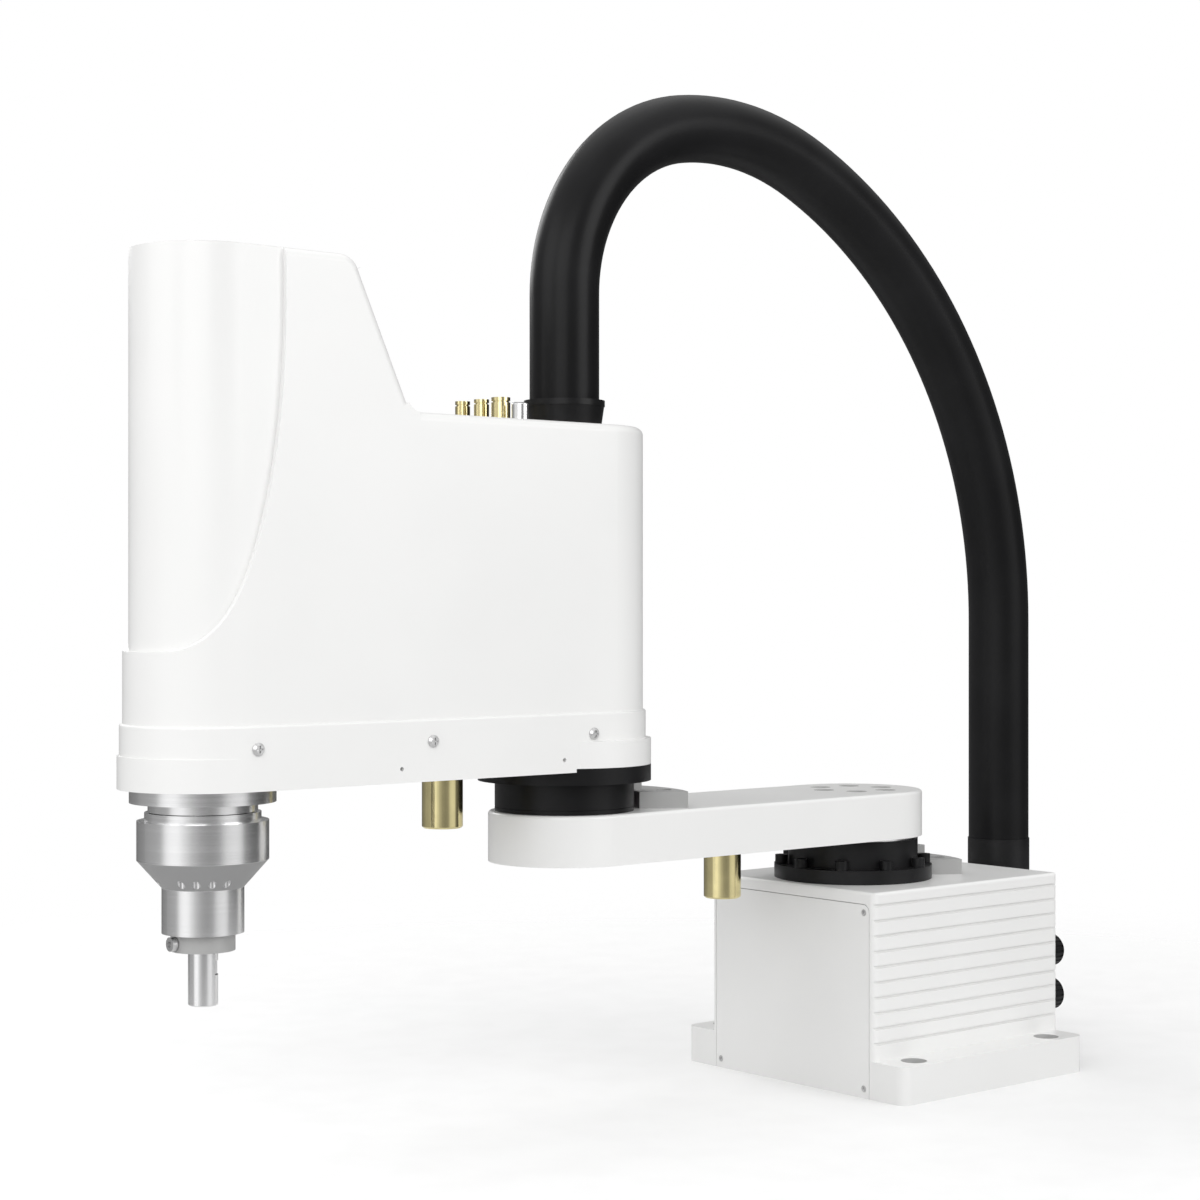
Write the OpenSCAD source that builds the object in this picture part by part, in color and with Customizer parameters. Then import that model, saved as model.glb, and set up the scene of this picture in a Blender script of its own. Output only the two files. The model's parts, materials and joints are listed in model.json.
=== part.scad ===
// Four-axis selective-compliance robot arm with a 500 mm reach.
// The origin is the first joint's axis at the mounting plane, +X points to the quill, +Z is up.

/* [Reach] */
// Distance from the first joint's axis to the second
arm_1_len = 250; // [225:1:300]
// Distance from the second joint's axis to the quill
arm_2_len = 250; // [245:1:300]
// Travel of the quill
quill_stroke = 150; // [100:1:150]

/* [Base] */
// Distance from the first axis to the front of the base
base_front = 59; // [57:0.5:75]
// Distance from the first axis to the rear of the base
base_back = 122; // [110:1:140]
// Width of the base block
base_w = 150; // [140:1:160]
// Height of the base block
base_h = 130.5; // [125:0.5:150]
// Thickness of the base side and end walls
base_wall = 9; // [7:0.5:12]
// Thickness of the base roof
roof_t = 10; // [9:0.5:12]
// Thickness of the base floor
floor_t = 12; // [8:0.5:14]
// Radius of the outer edges of the base
base_round = 4; // [2:0.5:6]
// Width over the mounting feet
foot_w = 200; // [190:1:220]
// Thickness of the mounting feet
foot_t = 24; // [16:1:28]
// Length of the mounting feet
foot_len = 177.5; // [160:0.5:181]
// Spacing of the mounting holes along X
bolt_dx = 130; // [120:1:140]
// Distance from the mounting holes to the sides of the feet
bolt_edge = 13; // [11:0.5:15]
// Diameter of the mounting holes
bolt_d = 9; // [6:0.5:11]
// Diameter of the counterbores over the mounting holes
spot_d = 16.4; // [14:0.2:20]
// Depth of the counterbores over the mounting holes
spot_depth = 9; // [4:0.5:11]
// Width of the cooling grooves
groove_w = 1.8; // [1:0.1:3]
// Depth of the cooling grooves
groove_d = 1.5; // [1:0.1:2.5]
// Number of cooling grooves on each side
groove_count = 10; // [6:1:11]
// Width of the front and rear plates
plate_w = 141; // [132:1:142]
// Thickness of the front and rear plates
plate_t = 3; // [2:0.5:4]
// Height of the roof edge above the plates
plate_drop = 8; // [5:0.5:10]

/* [Joint one] */
// Diameter of the reducer flange
j1_flange_d = 105; // [100:1:116]
// Thickness of the reducer flange
j1_flange_t = 9; // [7:0.5:12]
// Diameter of the reducer body
j1_body_d = 86.4; // [80:0.2:88]
// Height of the reducer above its flange
j1_body_h = 19.5; // [16:0.5:26]
// Pitch circle of the reducer screws
j1_screw_pcd = 96; // [95:0.5:97]
// Number of reducer screws
j1_screw_count = 10; // [6:1:14]

/* [Arm one] */
// Width of the first arm
arm_1_w = 92; // [90:1:110]
// Thickness of the first arm
arm_1_t = 30.2; // [24:0.2:40]
// Pitch circle of the screws over the first joint
arm_screw_pcd = 47.4; // [44:0.2:52]
// Diameter of the counterbores over the first joint
arm_screw_bore = 13.4; // [12:0.2:14]
// Distance of the first stop pin from the first axis
pin_1_x = 119.7; // [112:0.1:126]
// Diameter of the stop pins
pin_d = 23.7; // [18:0.1:26]
// Length of the first stop pin below the arm
pin_1_len = 33; // [30:0.5:36]

/* [Joint two] */
// Diameter of the second reducer body
j2_body_d = 84; // [78:0.2:88]
// Height of the second reducer body
j2_body_h = 18; // [14:0.5:26]
// Diameter of the output ring
j2_ring_d = 104.4; // [98:0.2:110]
// Height of the output ring
j2_ring_h = 9.9; // [8:0.1:14]
// Distance of the second stop pin from the second axis
pin_2_x = 91.2; // [84:0.1:94]
// Length of the second stop pin below the arm
pin_2_len = 31.3; // [28:0.1:34]

/* [Arm two] */
// Width of the second arm's casting
arm_2_w = 90.8; // [88:0.2:96]
// Height of the casting's outer wall
arm_2_rim_h = 17.6; // [15:0.2:22]
// Thickness of the casting's floor
arm_2_floor_t = 8; // [7:0.5:10]
// Depth of the step that leaves room for the output ring
ring_step = 2.1; // [1:0.1:3]
// Height of the cover's lower band
band_h = 16.9; // [13:0.1:20]
// Distance that the band stands out of the cover
band_out = 1.7; // [1:0.1:2.4]
// Wall of the cover
cover_wall = 3; // [2:0.25:3.5]
// Height of the low part of the cover
cover_low_h = 186.5; // [180:0.5:210]
// Height of the tall part of the cover
cover_tall_h = 269.4; // [265:0.2:290]
// Angle of the sloping back of the tall part
slope_angle = 65.5; // [60:0.5:75]
// Distance from the quill back to the foot of the slope
slope_back = 106.4; // [104:0.2:112]
// Depth of the recess round the front of the cover
recess_depth = 3.2; // [1.5:0.1:3.5]
// Height of the lowest edge of the recess above the band
recess_rise = 38.5; // [30:0.5:60]
// Height over which the edge of the recess sweeps down
sweep_h = 184; // [150:1:190]
// Length along the arm that the edge sweeps through
sweep_len = 63; // [50:0.5:70]
// Distance from the quill back to the upright edge of the recess
recess_back = 24.6; // [15:0.2:30]
// Radius of the cover's upper edges
cover_round = 5; // [2:0.5:8]

/* [Quill] */
// Diameter of the quill shaft
shaft_d = 16; // [14:0.5:18]
// Diameter of the bore through the shaft
shaft_bore = 11; // [6:0.5:12]
// Length of shaft below the stop collar
tool_len = 29.5; // [25:0.5:40]
// Diameter of the lower stop collar
collar_d = 34.4; // [32:0.2:40]
// Height of the stop collars
collar_h = 9.2; // [8:0.2:10]
// Diameter of the fixed bearing flange
flange_d = 78; // [74:0.5:82]
// Thickness of the fixed bearing flange
flange_t = 7.5; // [6:0.5:10]
// Diameter of the spline nut housing
cup_d = 70.2; // [66:0.2:74]
// Diameter of the housing's lower sleeve
sleeve_d = 43.8; // [40:0.2:48]
// Lead of the ball screw
screw_lead = 16; // [10:1:20]

/* [Conduit] */
// Outer diameter of the conduit
conduit_d = 42; // [36:1:44]
// Wall of the conduit
conduit_wall = 2.5; // [1.5:0.5:4]
// Radius of the bend over the second arm
bend_1_r = 113.5; // [100:0.5:120]
// Angle of the bend over the second arm
bend_1_angle = 80; // [70:1:90]
// Radius of the bend at the crown
bend_2_r = 191.5; // [170:0.5:210]
// Angle of the bend at the crown
bend_2_angle = 33; // [25:1:40]
// Straight length above the upper flange
conduit_rise = 64; // [40:1:80]
// Distance from the rear of the base to the conduit's axis
conduit_back = 27; // [27:0.5:35]

/* [Fittings] */
// Spacing of the fittings across the cover
fitting_pitch = 18.7; // [16:0.1:19.5]
// Distance from the second axis forward to the row of fittings
fitting_x = 48; // [44:0.5:56]
// Height of the push-in fittings above the cover
fitting_h = 15.5; // [12:0.5:20]
// Diameter of the brake release button
button_d = 10.4; // [8:0.2:12]
// Travel of the brake release button
button_travel = 2.5; // [1:0.5:3]

/* [Hidden] */

$fn = 64;
eps = 0.01;
// Clearance of a sliding or turning fit, on the radius
fit_gap = 0.05;
// Clearance between faces of pieces that move past each other
run_gap = 0.3;
// Clearance round a screw's shank, on the radius
screw_gap = 0.2;

// Axes and levels
j2_x = arm_1_len;
quill_x = arm_1_len + arm_2_len;
arm_1_z = base_h + j1_flange_t + j1_body_h;
arm_1_top = arm_1_z + arm_1_t;
ring_z = arm_1_top + j2_body_h + run_gap;
arm_2_z = ring_z + j2_ring_h - ring_step;
band_z = arm_2_z + arm_2_rim_h;
band_top = band_z + band_h;
low_top = band_z + cover_low_h;
tall_top = band_z + cover_tall_h;

// Colours
white_paint = [0.94, 0.94, 0.93];
black_paint = [0.12, 0.12, 0.12];
bare_steel = [0.72, 0.72, 0.73];
dark_steel = [0.3, 0.3, 0.31];
brass_tone = [0.83, 0.70, 0.40];
block_grey = [0.78, 0.78, 0.77];
belt_black = [0.08, 0.08, 0.08];

// General shapes

// A plan outline with round ends of radius r at x0 and x1
module stadium(x0, x1, r) {
    translate([x0, 0]) circle(r);
    translate([x1, 0]) circle(r);
    translate([x0, -r]) square([x1 - x0, 2 * r]);
}

// Half of an upright section, from the axis out to r, with its upper corner rounded
module half_section(r, z0, z1, corner) {
    translate([0, z0]) square([r, z1 - corner - z0]);
    translate([0, z0]) square([r - corner, z1 - z0]);
    translate([r - corner, z1 - corner]) circle(corner);
}

// A block with round ends and a rounded upper edge
module round_block(x0, x1, r, z0, z1, corner) {
    translate([x0, 0, 0])
        rotate([0, 0, 90])
            rotate_extrude(angle = 180)
                half_section(r, z0, z1, corner);
    translate([x1, 0, 0])
        rotate([0, 0, -90])
            rotate_extrude(angle = 180)
                half_section(r, z0, z1, corner);
    translate([x0, 0, 0])
        rotate([90, 0, 90])
            linear_extrude(x1 - x0) {
                half_section(r, z0, z1, corner);
                mirror([1, 0]) half_section(r, z0, z1, corner);
            }
}

// A rectangle centred on the origin with round corners
module round_rect(w, h, r) {
    square([w - 2 * r, h], center = true);
    square([w, h - 2 * r], center = true);
    for (sx = [-1, 1], sy = [-1, 1])
        translate([sx * (w / 2 - r), sy * (h / 2 - r)]) circle(r);
}

// Copies its children on a circle
module ring_of(count, radius, first = 0) {
    for (i = [0 : count - 1])
        rotate([0, 0, first + i * 360 / count])
            translate([radius, 0, 0]) children();
}

// A socket-head screw with its head's seat at z = 0 and its shank downwards
module socket_screw(d, head_d, head_h, len) {
    difference() {
        union() {
            cylinder(h = head_h, d = head_d);
            translate([0, 0, -len]) cylinder(h = len + eps, d = d);
        }
        translate([0, 0, head_h * 0.4])
            cylinder(h = head_h, d = d, $fn = 6);
    }
}

// The room that such a screw needs, with the seat at z = 0
module screw_room(d, len) {
    translate([0, 0, -len]) cylinder(h = len, r = d / 2 + screw_gap);
}

pilot_h = 2;

// A square servo motor with its mounting face at z = 0 and its body above
module servo_body(side, len, pilot_d) {
    cap = len * 0.28;
    linear_extrude(len - cap) round_rect(side, side, side * 0.1);
    translate([0, 0, len - cap])
        linear_extrude(cap) round_rect(side * 0.92, side * 0.92, side * 0.14);
    translate([side * 0.1, 0, len - cap * 0.5])
        rotate([0, 90, 0])
            cylinder(h = side * 0.5, d = cap * 0.5);
    if (pilot_d > 0) translate([0, 0, -pilot_h]) cylinder(h = pilot_h + eps, d = pilot_d);
}

// A stop block: a plate shaped as part of a ring, with a raised nose
block_t = 10;
block_out_r = 76;
block_angle = 62;
nose_w = 16;
nose_in = 1;
nose_t = 8.5;
nose_rise = 7.6;
block_bolt_r = 66;
block_bolt_angle = 17;
block_bolt_d = 5;
block_bore_d = 9.5;
block_bore_depth = 5.4;

module ring_part_2d(r_in, r_out, angle) {
    far = 2 * r_out;
    intersection() {
        difference() {
            circle(r_out);
            circle(r_in);
        }
        polygon([
            [0, 0],
            far * [cos(180 - angle / 2), sin(180 - angle / 2)],
            [-far, 0],
            far * [cos(180 + angle / 2), sin(180 + angle / 2)]
        ]);
    }
}

module stop_block(r_in) {
    nose_r = r_in + nose_in + nose_t;
    difference() {
        union() {
            linear_extrude(block_t) ring_part_2d(r_in, block_out_r, block_angle);
            linear_extrude(block_t + nose_rise)
                intersection() {
                    difference() {
                        circle(nose_r);
                        circle(r_in + nose_in);
                    }
                    translate([-nose_r - 1, -nose_w / 2]) square([nose_r, nose_w]);
                }
        }
        block_bolt_places() {
            translate([0, 0, block_t - block_bore_depth])
                cylinder(h = block_bore_depth + 1, d = block_bore_d);
            translate([0, 0, -1])
                cylinder(h = block_t + 1, r = block_bolt_d / 2 + screw_gap);
        }
    }
}

module block_bolt_places() {
    for (s = [-1, 1])
        rotate([0, 0, 180 + s * block_bolt_angle])
            translate([block_bolt_r, 0, 0]) children();
}

block_bolt_depth = 8;

module block_bolts() {
    block_bolt_places()
        translate([0, 0, block_t - block_bore_depth])
            socket_screw(block_bolt_d, block_bore_d - 1, 5,
                         block_t - block_bore_depth + block_bolt_depth);
}

module block_bolt_room() {
    block_bolt_places()
        screw_room(block_bolt_d, block_bolt_depth + 1);
}

// Base

plate_h = base_h - plate_drop;
plate_screw_y = plate_w / 2 - 4.5;
plate_screw_low = 6;
plate_screw_high = plate_h - 5;
plate_screw_d = 2.2;
plate_screw_head = 3.8;
plate_head_h = 1.4;
plate_head_depth = 1.6;
plate_screw_len = 8;
plate_round = 5;
plate_gap = 0.4;
land_w = 8;
foot_x = base_front - foot_len / 2;
foot_round = 7;
bolt_dy = foot_w - 2 * bolt_edge;
motor_1_side = 60;
motor_1_len = 74;
spigot_h = 12.5;
spigot_d = 76;
groove_low = foot_t + 11;
groove_high = base_h - 8;

module plate_screw_places() {
    for (s = [-1, 1], z = [plate_screw_low, plate_screw_high])
        translate([0, s * plate_screw_y, z]) children();
}

// The block's outer shape, with its upright and upper edges rounded
module base_block() {
    len = base_front + base_back;
    mid = (base_front - base_back) / 2;
    intersection() {
        translate([mid, 0, 0])
            linear_extrude(base_h) round_rect(len, base_w, base_round);
        translate([-base_back - 1, 0, 0])
            rotate([90, 0, 90])
                linear_extrude(len + 2)
                    rounded_top(base_w, base_h, base_round / 2);
        translate([mid, base_w, 0])
            rotate([90, 0, 0])
                linear_extrude(2 * base_w)
                    rounded_top(len, base_h, base_round / 2);
    }
}

// A rectangle standing on the X axis with rounded upper corners
module rounded_top(w, h, r) {
    translate([-w / 2, 0]) square([w, h - r]);
    translate([-w / 2 + r, 0]) square([w - 2 * r, h]);
    for (s = [-1, 1])
        translate([s * (w / 2 - r), h - r]) circle(r);
}

module base_grooves() {
    pitch = (groove_high - groove_low) / (groove_count - 1);
    for (i = [0 : groove_count - 1], s = [-1, 1])
        translate([-base_back - 1, s * base_w / 2 - groove_d,
                   groove_low + i * pitch - groove_w / 2])
            cube([base_front + base_back + 2, 2 * groove_d, groove_w]);
}

module plate_seat(x) {
    translate([x, 0, 0])
        rotate([90, 0, 90])
            linear_extrude(plate_t + plate_gap + 1)
                rounded_top(plate_w + 2 * plate_gap, plate_h + plate_gap, plate_round);
}

module base_casting() {
    inner_w = base_w - 2 * base_wall;
    land_in = land_w + 3;
    color(white_paint)
        difference() {
            union() {
                base_block();
                translate([foot_x, 0, 0])
                    linear_extrude(foot_t) round_rect(foot_len, foot_w, foot_round);
            }
            base_grooves();
            plate_seat(base_front - plate_t - plate_gap);
            translate([-base_back + plate_t + plate_gap, 0, 0])
                mirror([1, 0, 0]) plate_seat(0);
            // Room for the motor and the wiring
            translate([-base_back + land_w + plate_t, -inner_w / 2, floor_t])
                cube([base_front + base_back - 2 * (land_w + plate_t), inner_w,
                      base_h - roof_t - floor_t]);
            // Openings behind the two plates
            translate([-base_back - 1, -plate_w / 2 + land_in, floor_t])
                cube([base_front + base_back + 2, plate_w - 2 * land_in,
                      plate_screw_high - land_w - floor_t]);
            for (z = connector_zs)
                translate([-base_back, connector_y, z])
                    rotate([0, 90, 0]) cylinder(h = 20, d = connector_hole + 4);
            // Bore for the first reducer
            translate([0, 0, base_h - roof_t - 1])
                cylinder(h = roof_t + 2, r = spigot_d / 2 + fit_gap);
            translate([0, 0, base_h])
                ring_of(j1_screw_count, j1_screw_pcd / 2, j1_screw_turn)
                    screw_room(j1_screw_d, roof_t - 2);
            translate([0, 0, base_h]) block_bolt_room();
            mount_holes();
            for (side = [0, 1])
                translate([side * (base_front - base_back), 0, 0])
                    mirror([side, 0, 0])
                        translate([base_front - plate_t, 0, 0])
                            plate_screw_places()
                                rotate([0, -90, 0])
                                    cylinder(h = land_w, r = plate_screw_d / 2 + screw_gap);
        }
}

module mount_holes() {
    for (sx = [-1, 1], sy = [-1, 1])
        translate([foot_x + sx * bolt_dx / 2, sy * bolt_dy / 2, 0]) {
            translate([0, 0, -1]) cylinder(h = foot_t + 2, d = bolt_d);
            translate([0, 0, foot_t - spot_depth]) cylinder(h = spot_depth + 1, d = spot_d);
        }
}

// A plate that lies in the base's end, with its outer face at x = 0
module base_plate() {
    difference() {
        translate([-plate_t, 0, 0])
            rotate([90, 0, 90])
                linear_extrude(plate_t) rounded_top(plate_w, plate_h, plate_round);
        plate_screw_places() {
            rotate([0, -90, 0])
                translate([0, 0, -1])
                    cylinder(h = plate_t + 2, r = plate_screw_d / 2 + screw_gap);
            rotate([0, -90, 0])
                translate([0, 0, -1])
                    cylinder(h = plate_head_depth + 1, r = plate_screw_head / 2 + screw_gap);
        }
    }
}

module base_front_plate() {
    color(white_paint) translate([base_front, 0, 0]) base_plate();
}

elbow_z = base_h - 40.5;
elbow_flange_d = 58;
elbow_flange_t = 4;
connector_y = 55;
connector_zs = [base_h - 86, base_h - 56];
connector_d = 21.7;
connector_reach = 20;
connector_hole = 16;
conduit_x = -base_back - conduit_back;
wiring_d = conduit_d - 6;

module base_rear_panel() {
    color(white_paint)
        difference() {
            translate([-base_back, 0, 0]) mirror([1, 0, 0]) base_plate();
            translate([-base_back - 1, 0, elbow_z])
                rotate([0, 90, 0]) cylinder(h = plate_t + 2, d = wiring_d);
            for (z = connector_zs)
                translate([-base_back - 1, connector_y, z])
                    rotate([0, 90, 0]) cylinder(h = plate_t + 2, d = connector_hole);
        }
}

module base_plate_screws() {
    color(bare_steel)
        for (side = [0, 1])
            translate([side * (base_front - base_back), 0, 0])
                mirror([side, 0, 0])
                    translate([base_front - plate_head_depth, 0, 0])
                        plate_screw_places()
                            rotate([0, 90, 0])
                                socket_screw(plate_screw_d, plate_screw_head, plate_head_h,
                                             plate_screw_len);
}

// A round bulkhead connector on the rear panel, pointing away from it
module connector(z, nose_d) {
    color(black_paint)
        translate([-base_back, connector_y, z])
            rotate([0, -90, 0])
                difference() {
                    union() {
                        translate([0, 0, -plate_t - 8])
                            cylinder(h = plate_t + 9, d = connector_hole - 0.4);
                        cylinder(h = 3, d = connector_d);
                        translate([0, 0, 3]) cylinder(h = 4, d = connector_d - 3);
                        translate([0, 0, 7]) cylinder(h = connector_reach - 9, d = connector_d);
                        translate([0, 0, connector_reach - 2])
                            cylinder(h = 2, d = nose_d);
                    }
                    ring_of(20, connector_d / 2)
                        translate([0, 0, 7.5])
                            cylinder(h = connector_reach - 10, d = 1.6, $fn = 16);
                }
}

module power_connector() {
    connector(connector_zs[1], connector_d - 3);
}

module signal_connector() {
    connector(connector_zs[0], connector_d - 5);
}

// First joint

j1_screw_d = 5;
j1_screw_turn = 35;
hub_spigot_d = 64;
hub_spigot_h = 12;
hub_plate_t = 1.6;

module j1_motor() {
    color(dark_steel)
        translate([0, 0, base_h - spigot_h])
            mirror([0, 0, 1])
                servo_body(motor_1_side, motor_1_len, 0);
}

module j1_reducer() {
    top = arm_1_z - hub_plate_t - run_gap;
    color(black_paint)
        difference() {
            union() {
                translate([0, 0, base_h]) cylinder(h = j1_flange_t, d = j1_flange_d);
                translate([0, 0, base_h]) cylinder(h = top - base_h, d = j1_body_d);
                translate([0, 0, base_h - spigot_h])
                    cylinder(h = spigot_h + 1, d = spigot_d);
            }
            translate([0, 0, top - hub_spigot_h + hub_plate_t])
                cylinder(h = hub_spigot_h + 1, r = hub_spigot_d / 2 + run_gap);
            translate([0, 0, base_h + j1_flange_t])
                ring_of(j1_screw_count, j1_screw_pcd / 2, j1_screw_turn) {
                    screw_room(j1_screw_d, j1_flange_t + 1);
                    translate([0, 0, 0.01]) cylinder(h = j1_body_h, d = j1_head_d + 1);
                }
        }
}

j1_head_d = 8.5;
j1_head_h = 6;

module j1_reducer_screws() {
    color(black_paint)
        translate([0, 0, base_h + j1_flange_t])
            ring_of(j1_screw_count, j1_screw_pcd / 2, j1_screw_turn)
                socket_screw(j1_screw_d, j1_head_d, j1_head_h, j1_flange_t + roof_t - 3);
}

module j1_stop_block() {
    color(block_grey)
        translate([0, 0, base_h]) stop_block(j1_flange_d / 2 + 1);
}

module j1_block_bolts() {
    color(bare_steel) translate([0, 0, base_h]) block_bolts();
}

arm_screw_d = 8;
arm_screw_head = 12.4;
arm_screw_turn = 50;
arm_screw_seat = 16;

module j1_output_hub() {
    color(dark_steel)
        difference() {
            union() {
                translate([0, 0, arm_1_z - hub_plate_t])
                    cylinder(h = hub_plate_t, d = j1_body_d - 3);
                translate([0, 0, arm_1_z - hub_spigot_h])
                    cylinder(h = hub_spigot_h, d = hub_spigot_d);
            }
            translate([0, 0, arm_1_z])
                ring_of(6, arm_screw_pcd / 2, arm_screw_turn)
                    screw_room(arm_screw_d, hub_spigot_h - 2);
        }
}

// Arm one

arm_1_round = 2;
pocket_depth = 18;
pocket_wall = 9;
rib_t = 6;
boss_d = 36;
zero_hole_x = -41;
j2_screw_pcd = 70;
j2_screw_d = 5;
j2_head_d = 8.5;
j2_head_h = 5;

// A hollow under the arm between the two joints, with a boss for the stop pin
module arm_1_pocket() {
    start = j1_body_d / 2 + 8;
    stop = j2_x - j2_body_d / 2 - 8;
    half = arm_1_w / 2 - pocket_wall;
    difference() {
        translate([start, -half, arm_1_z - 1])
            cube([stop - start, 2 * half, pocket_depth + 1]);
        translate([pin_1_x, 0, arm_1_z - 2])
            cylinder(h = pocket_depth + 4, d = boss_d);
        translate([start - 1, -rib_t / 2, arm_1_z - 2])
            cube([stop - start + 2, rib_t, pocket_depth + 4]);
        translate([pin_1_x - rib_t / 2, -half - 1, arm_1_z - 2])
            cube([rib_t, 2 * half + 2, pocket_depth + 4]);
    }
}

module arm_1_casting() {
    color(white_paint)
        difference() {
            round_block(0, j2_x, arm_1_w / 2, arm_1_z, arm_1_top, arm_1_round);
            arm_1_pocket();
            translate([0, 0, arm_1_z])
                ring_of(6, arm_screw_pcd / 2, arm_screw_turn) {
                    translate([0, 0, -1])
                        cylinder(h = arm_1_t + 2, r = arm_screw_d / 2 + screw_gap);
                    translate([0, 0, arm_screw_seat])
                        cylinder(h = arm_1_t, d = arm_screw_bore);
                }
            translate([zero_hole_x, 0, arm_1_top - 6]) cylinder(h = 7, d = 4);
            translate([pin_1_x, 0, arm_1_z - 1])
                cylinder(h = pin_stud_len + 2, r = pin_stud_d / 2 + screw_gap);
            translate([j2_x, 0, arm_1_z])
                ring_of(6, j2_screw_pcd / 2, 30) {
                    translate([0, 0, -1])
                        cylinder(h = arm_1_t + 2, r = j2_screw_d / 2 + screw_gap);
                    translate([0, 0, -1])
                        cylinder(h = j2_head_h + 2, d = j2_head_d + 1);
                }
            translate([j2_x, 0, arm_1_top]) block_bolt_room();
        }
}

module arm_1_screws() {
    color(bare_steel)
        translate([0, 0, arm_1_z + arm_screw_seat])
            ring_of(6, arm_screw_pcd / 2, arm_screw_turn)
                socket_screw(arm_screw_d, arm_screw_head, 8, arm_screw_seat + hub_spigot_h - 3);
}

pin_stud_d = 10;
pin_stud_len = 14;

// A brass stop pin that hangs from z = 0 and is held by a stud above
module stop_pin(len) {
    difference() {
        union() {
            translate([0, 0, -len]) cylinder(h = 1, d1 = pin_d - 2, d2 = pin_d);
            translate([0, 0, 1 - len]) cylinder(h = len - 1, d = pin_d);
            cylinder(h = pin_stud_len, d = pin_stud_d);
        }
        translate([0, 0, -len - 1]) cylinder(h = 7, d = 8, $fn = 6);
    }
}

module j1_stop_pin() {
    color(brass_tone) translate([pin_1_x, 0, arm_1_z]) stop_pin(pin_1_len);
}

// Second joint

j2_lip_h = 2.4;
j2_groove_w = 0.6;
j2_groove_depth = 0.6;
j2_stud_depth = 10;

module j2_reducer() {
    color(black_paint)
        translate([j2_x, 0, arm_1_top])
            difference() {
                union() {
                    cylinder(h = j2_lip_h, d = j2_body_d);
                    cylinder(h = j2_body_h, d = j2_body_d - 2 * j2_groove_depth);
                    translate([0, 0, j2_lip_h + j2_groove_w])
                        cylinder(h = j2_body_h - j2_lip_h - j2_groove_w, d = j2_body_d);
                }
                translate([0, 0, j2_body_h + run_gap - hub_spigot_h])
                    cylinder(h = hub_spigot_h + 1, r = hub_spigot_d / 2 + run_gap);
                ring_of(6, j2_screw_pcd / 2, 30)
                    translate([0, 0, -1])
                        cylinder(h = j2_stud_depth + 1, r = j2_screw_d / 2 + screw_gap);
            }
}

module j2_reducer_screws() {
    color(bare_steel)
        translate([j2_x, 0, arm_1_z + j2_head_h + 1])
            mirror([0, 0, 1])
                ring_of(6, j2_screw_pcd / 2, -30)
                    socket_screw(j2_screw_d, j2_head_d, j2_head_h,
                                 arm_1_t - j2_head_h + j2_stud_depth - 2);
}

module j2_stop_block() {
    color(block_grey)
        translate([j2_x, 0, arm_1_top]) stop_block(j2_body_d / 2 + 4);
}

module j2_block_bolts() {
    color(bare_steel) translate([j2_x, 0, arm_1_top]) block_bolts();
}

ring_bolt_pcd = 46;

module j2_output_ring() {
    color(black_paint)
        translate([j2_x, 0, ring_z])
            difference() {
                union() {
                    cylinder(h = j2_ring_h, d = j2_ring_d);
                    translate([0, 0, run_gap - hub_spigot_h + 1])
                        cylinder(h = hub_spigot_h, d = hub_spigot_d);
                }
                translate([0, 0, 1]) cylinder(h = j2_ring_h, d = 30);
            }
}

// Arm two

ring_boss_d = j2_ring_d;
step_x = j2_x + 28;
side_hole_xs = [37, 152];
side_hole_d = 2.5;
side_hole_depth = 6;
side_hole_z = 7.7;
upstand_h = 12;
upstand_t = 4;
cover_half = arm_2_w / 2 - band_out;
cover_rear_x = j2_x - 4.8;
cover_front_x = quill_x - 1.4;
crown_round = 12;
foot_fillet = 8;
cover_screw_xs = [15, 131, arm_2_len - 6];
cover_screw_z = 4.6;
cover_screw_d = 4;
cover_screw_head = 7;
cover_screw_len = 8;
slot_len = 4;
slot_w = 0.8;
upstand_gap = 0.3;
deck_half = cover_half - cover_wall - upstand_gap - upstand_t;

module arm_2_outline(r) {
    stadium(j2_x, quill_x, r);
}

module cover_screw_places() {
    for (x = cover_screw_xs, s = [0, 1])
        mirror([0, s, 0])
            translate([j2_x + x, arm_2_w / 2, band_z + cover_screw_z]) children();
}

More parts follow.
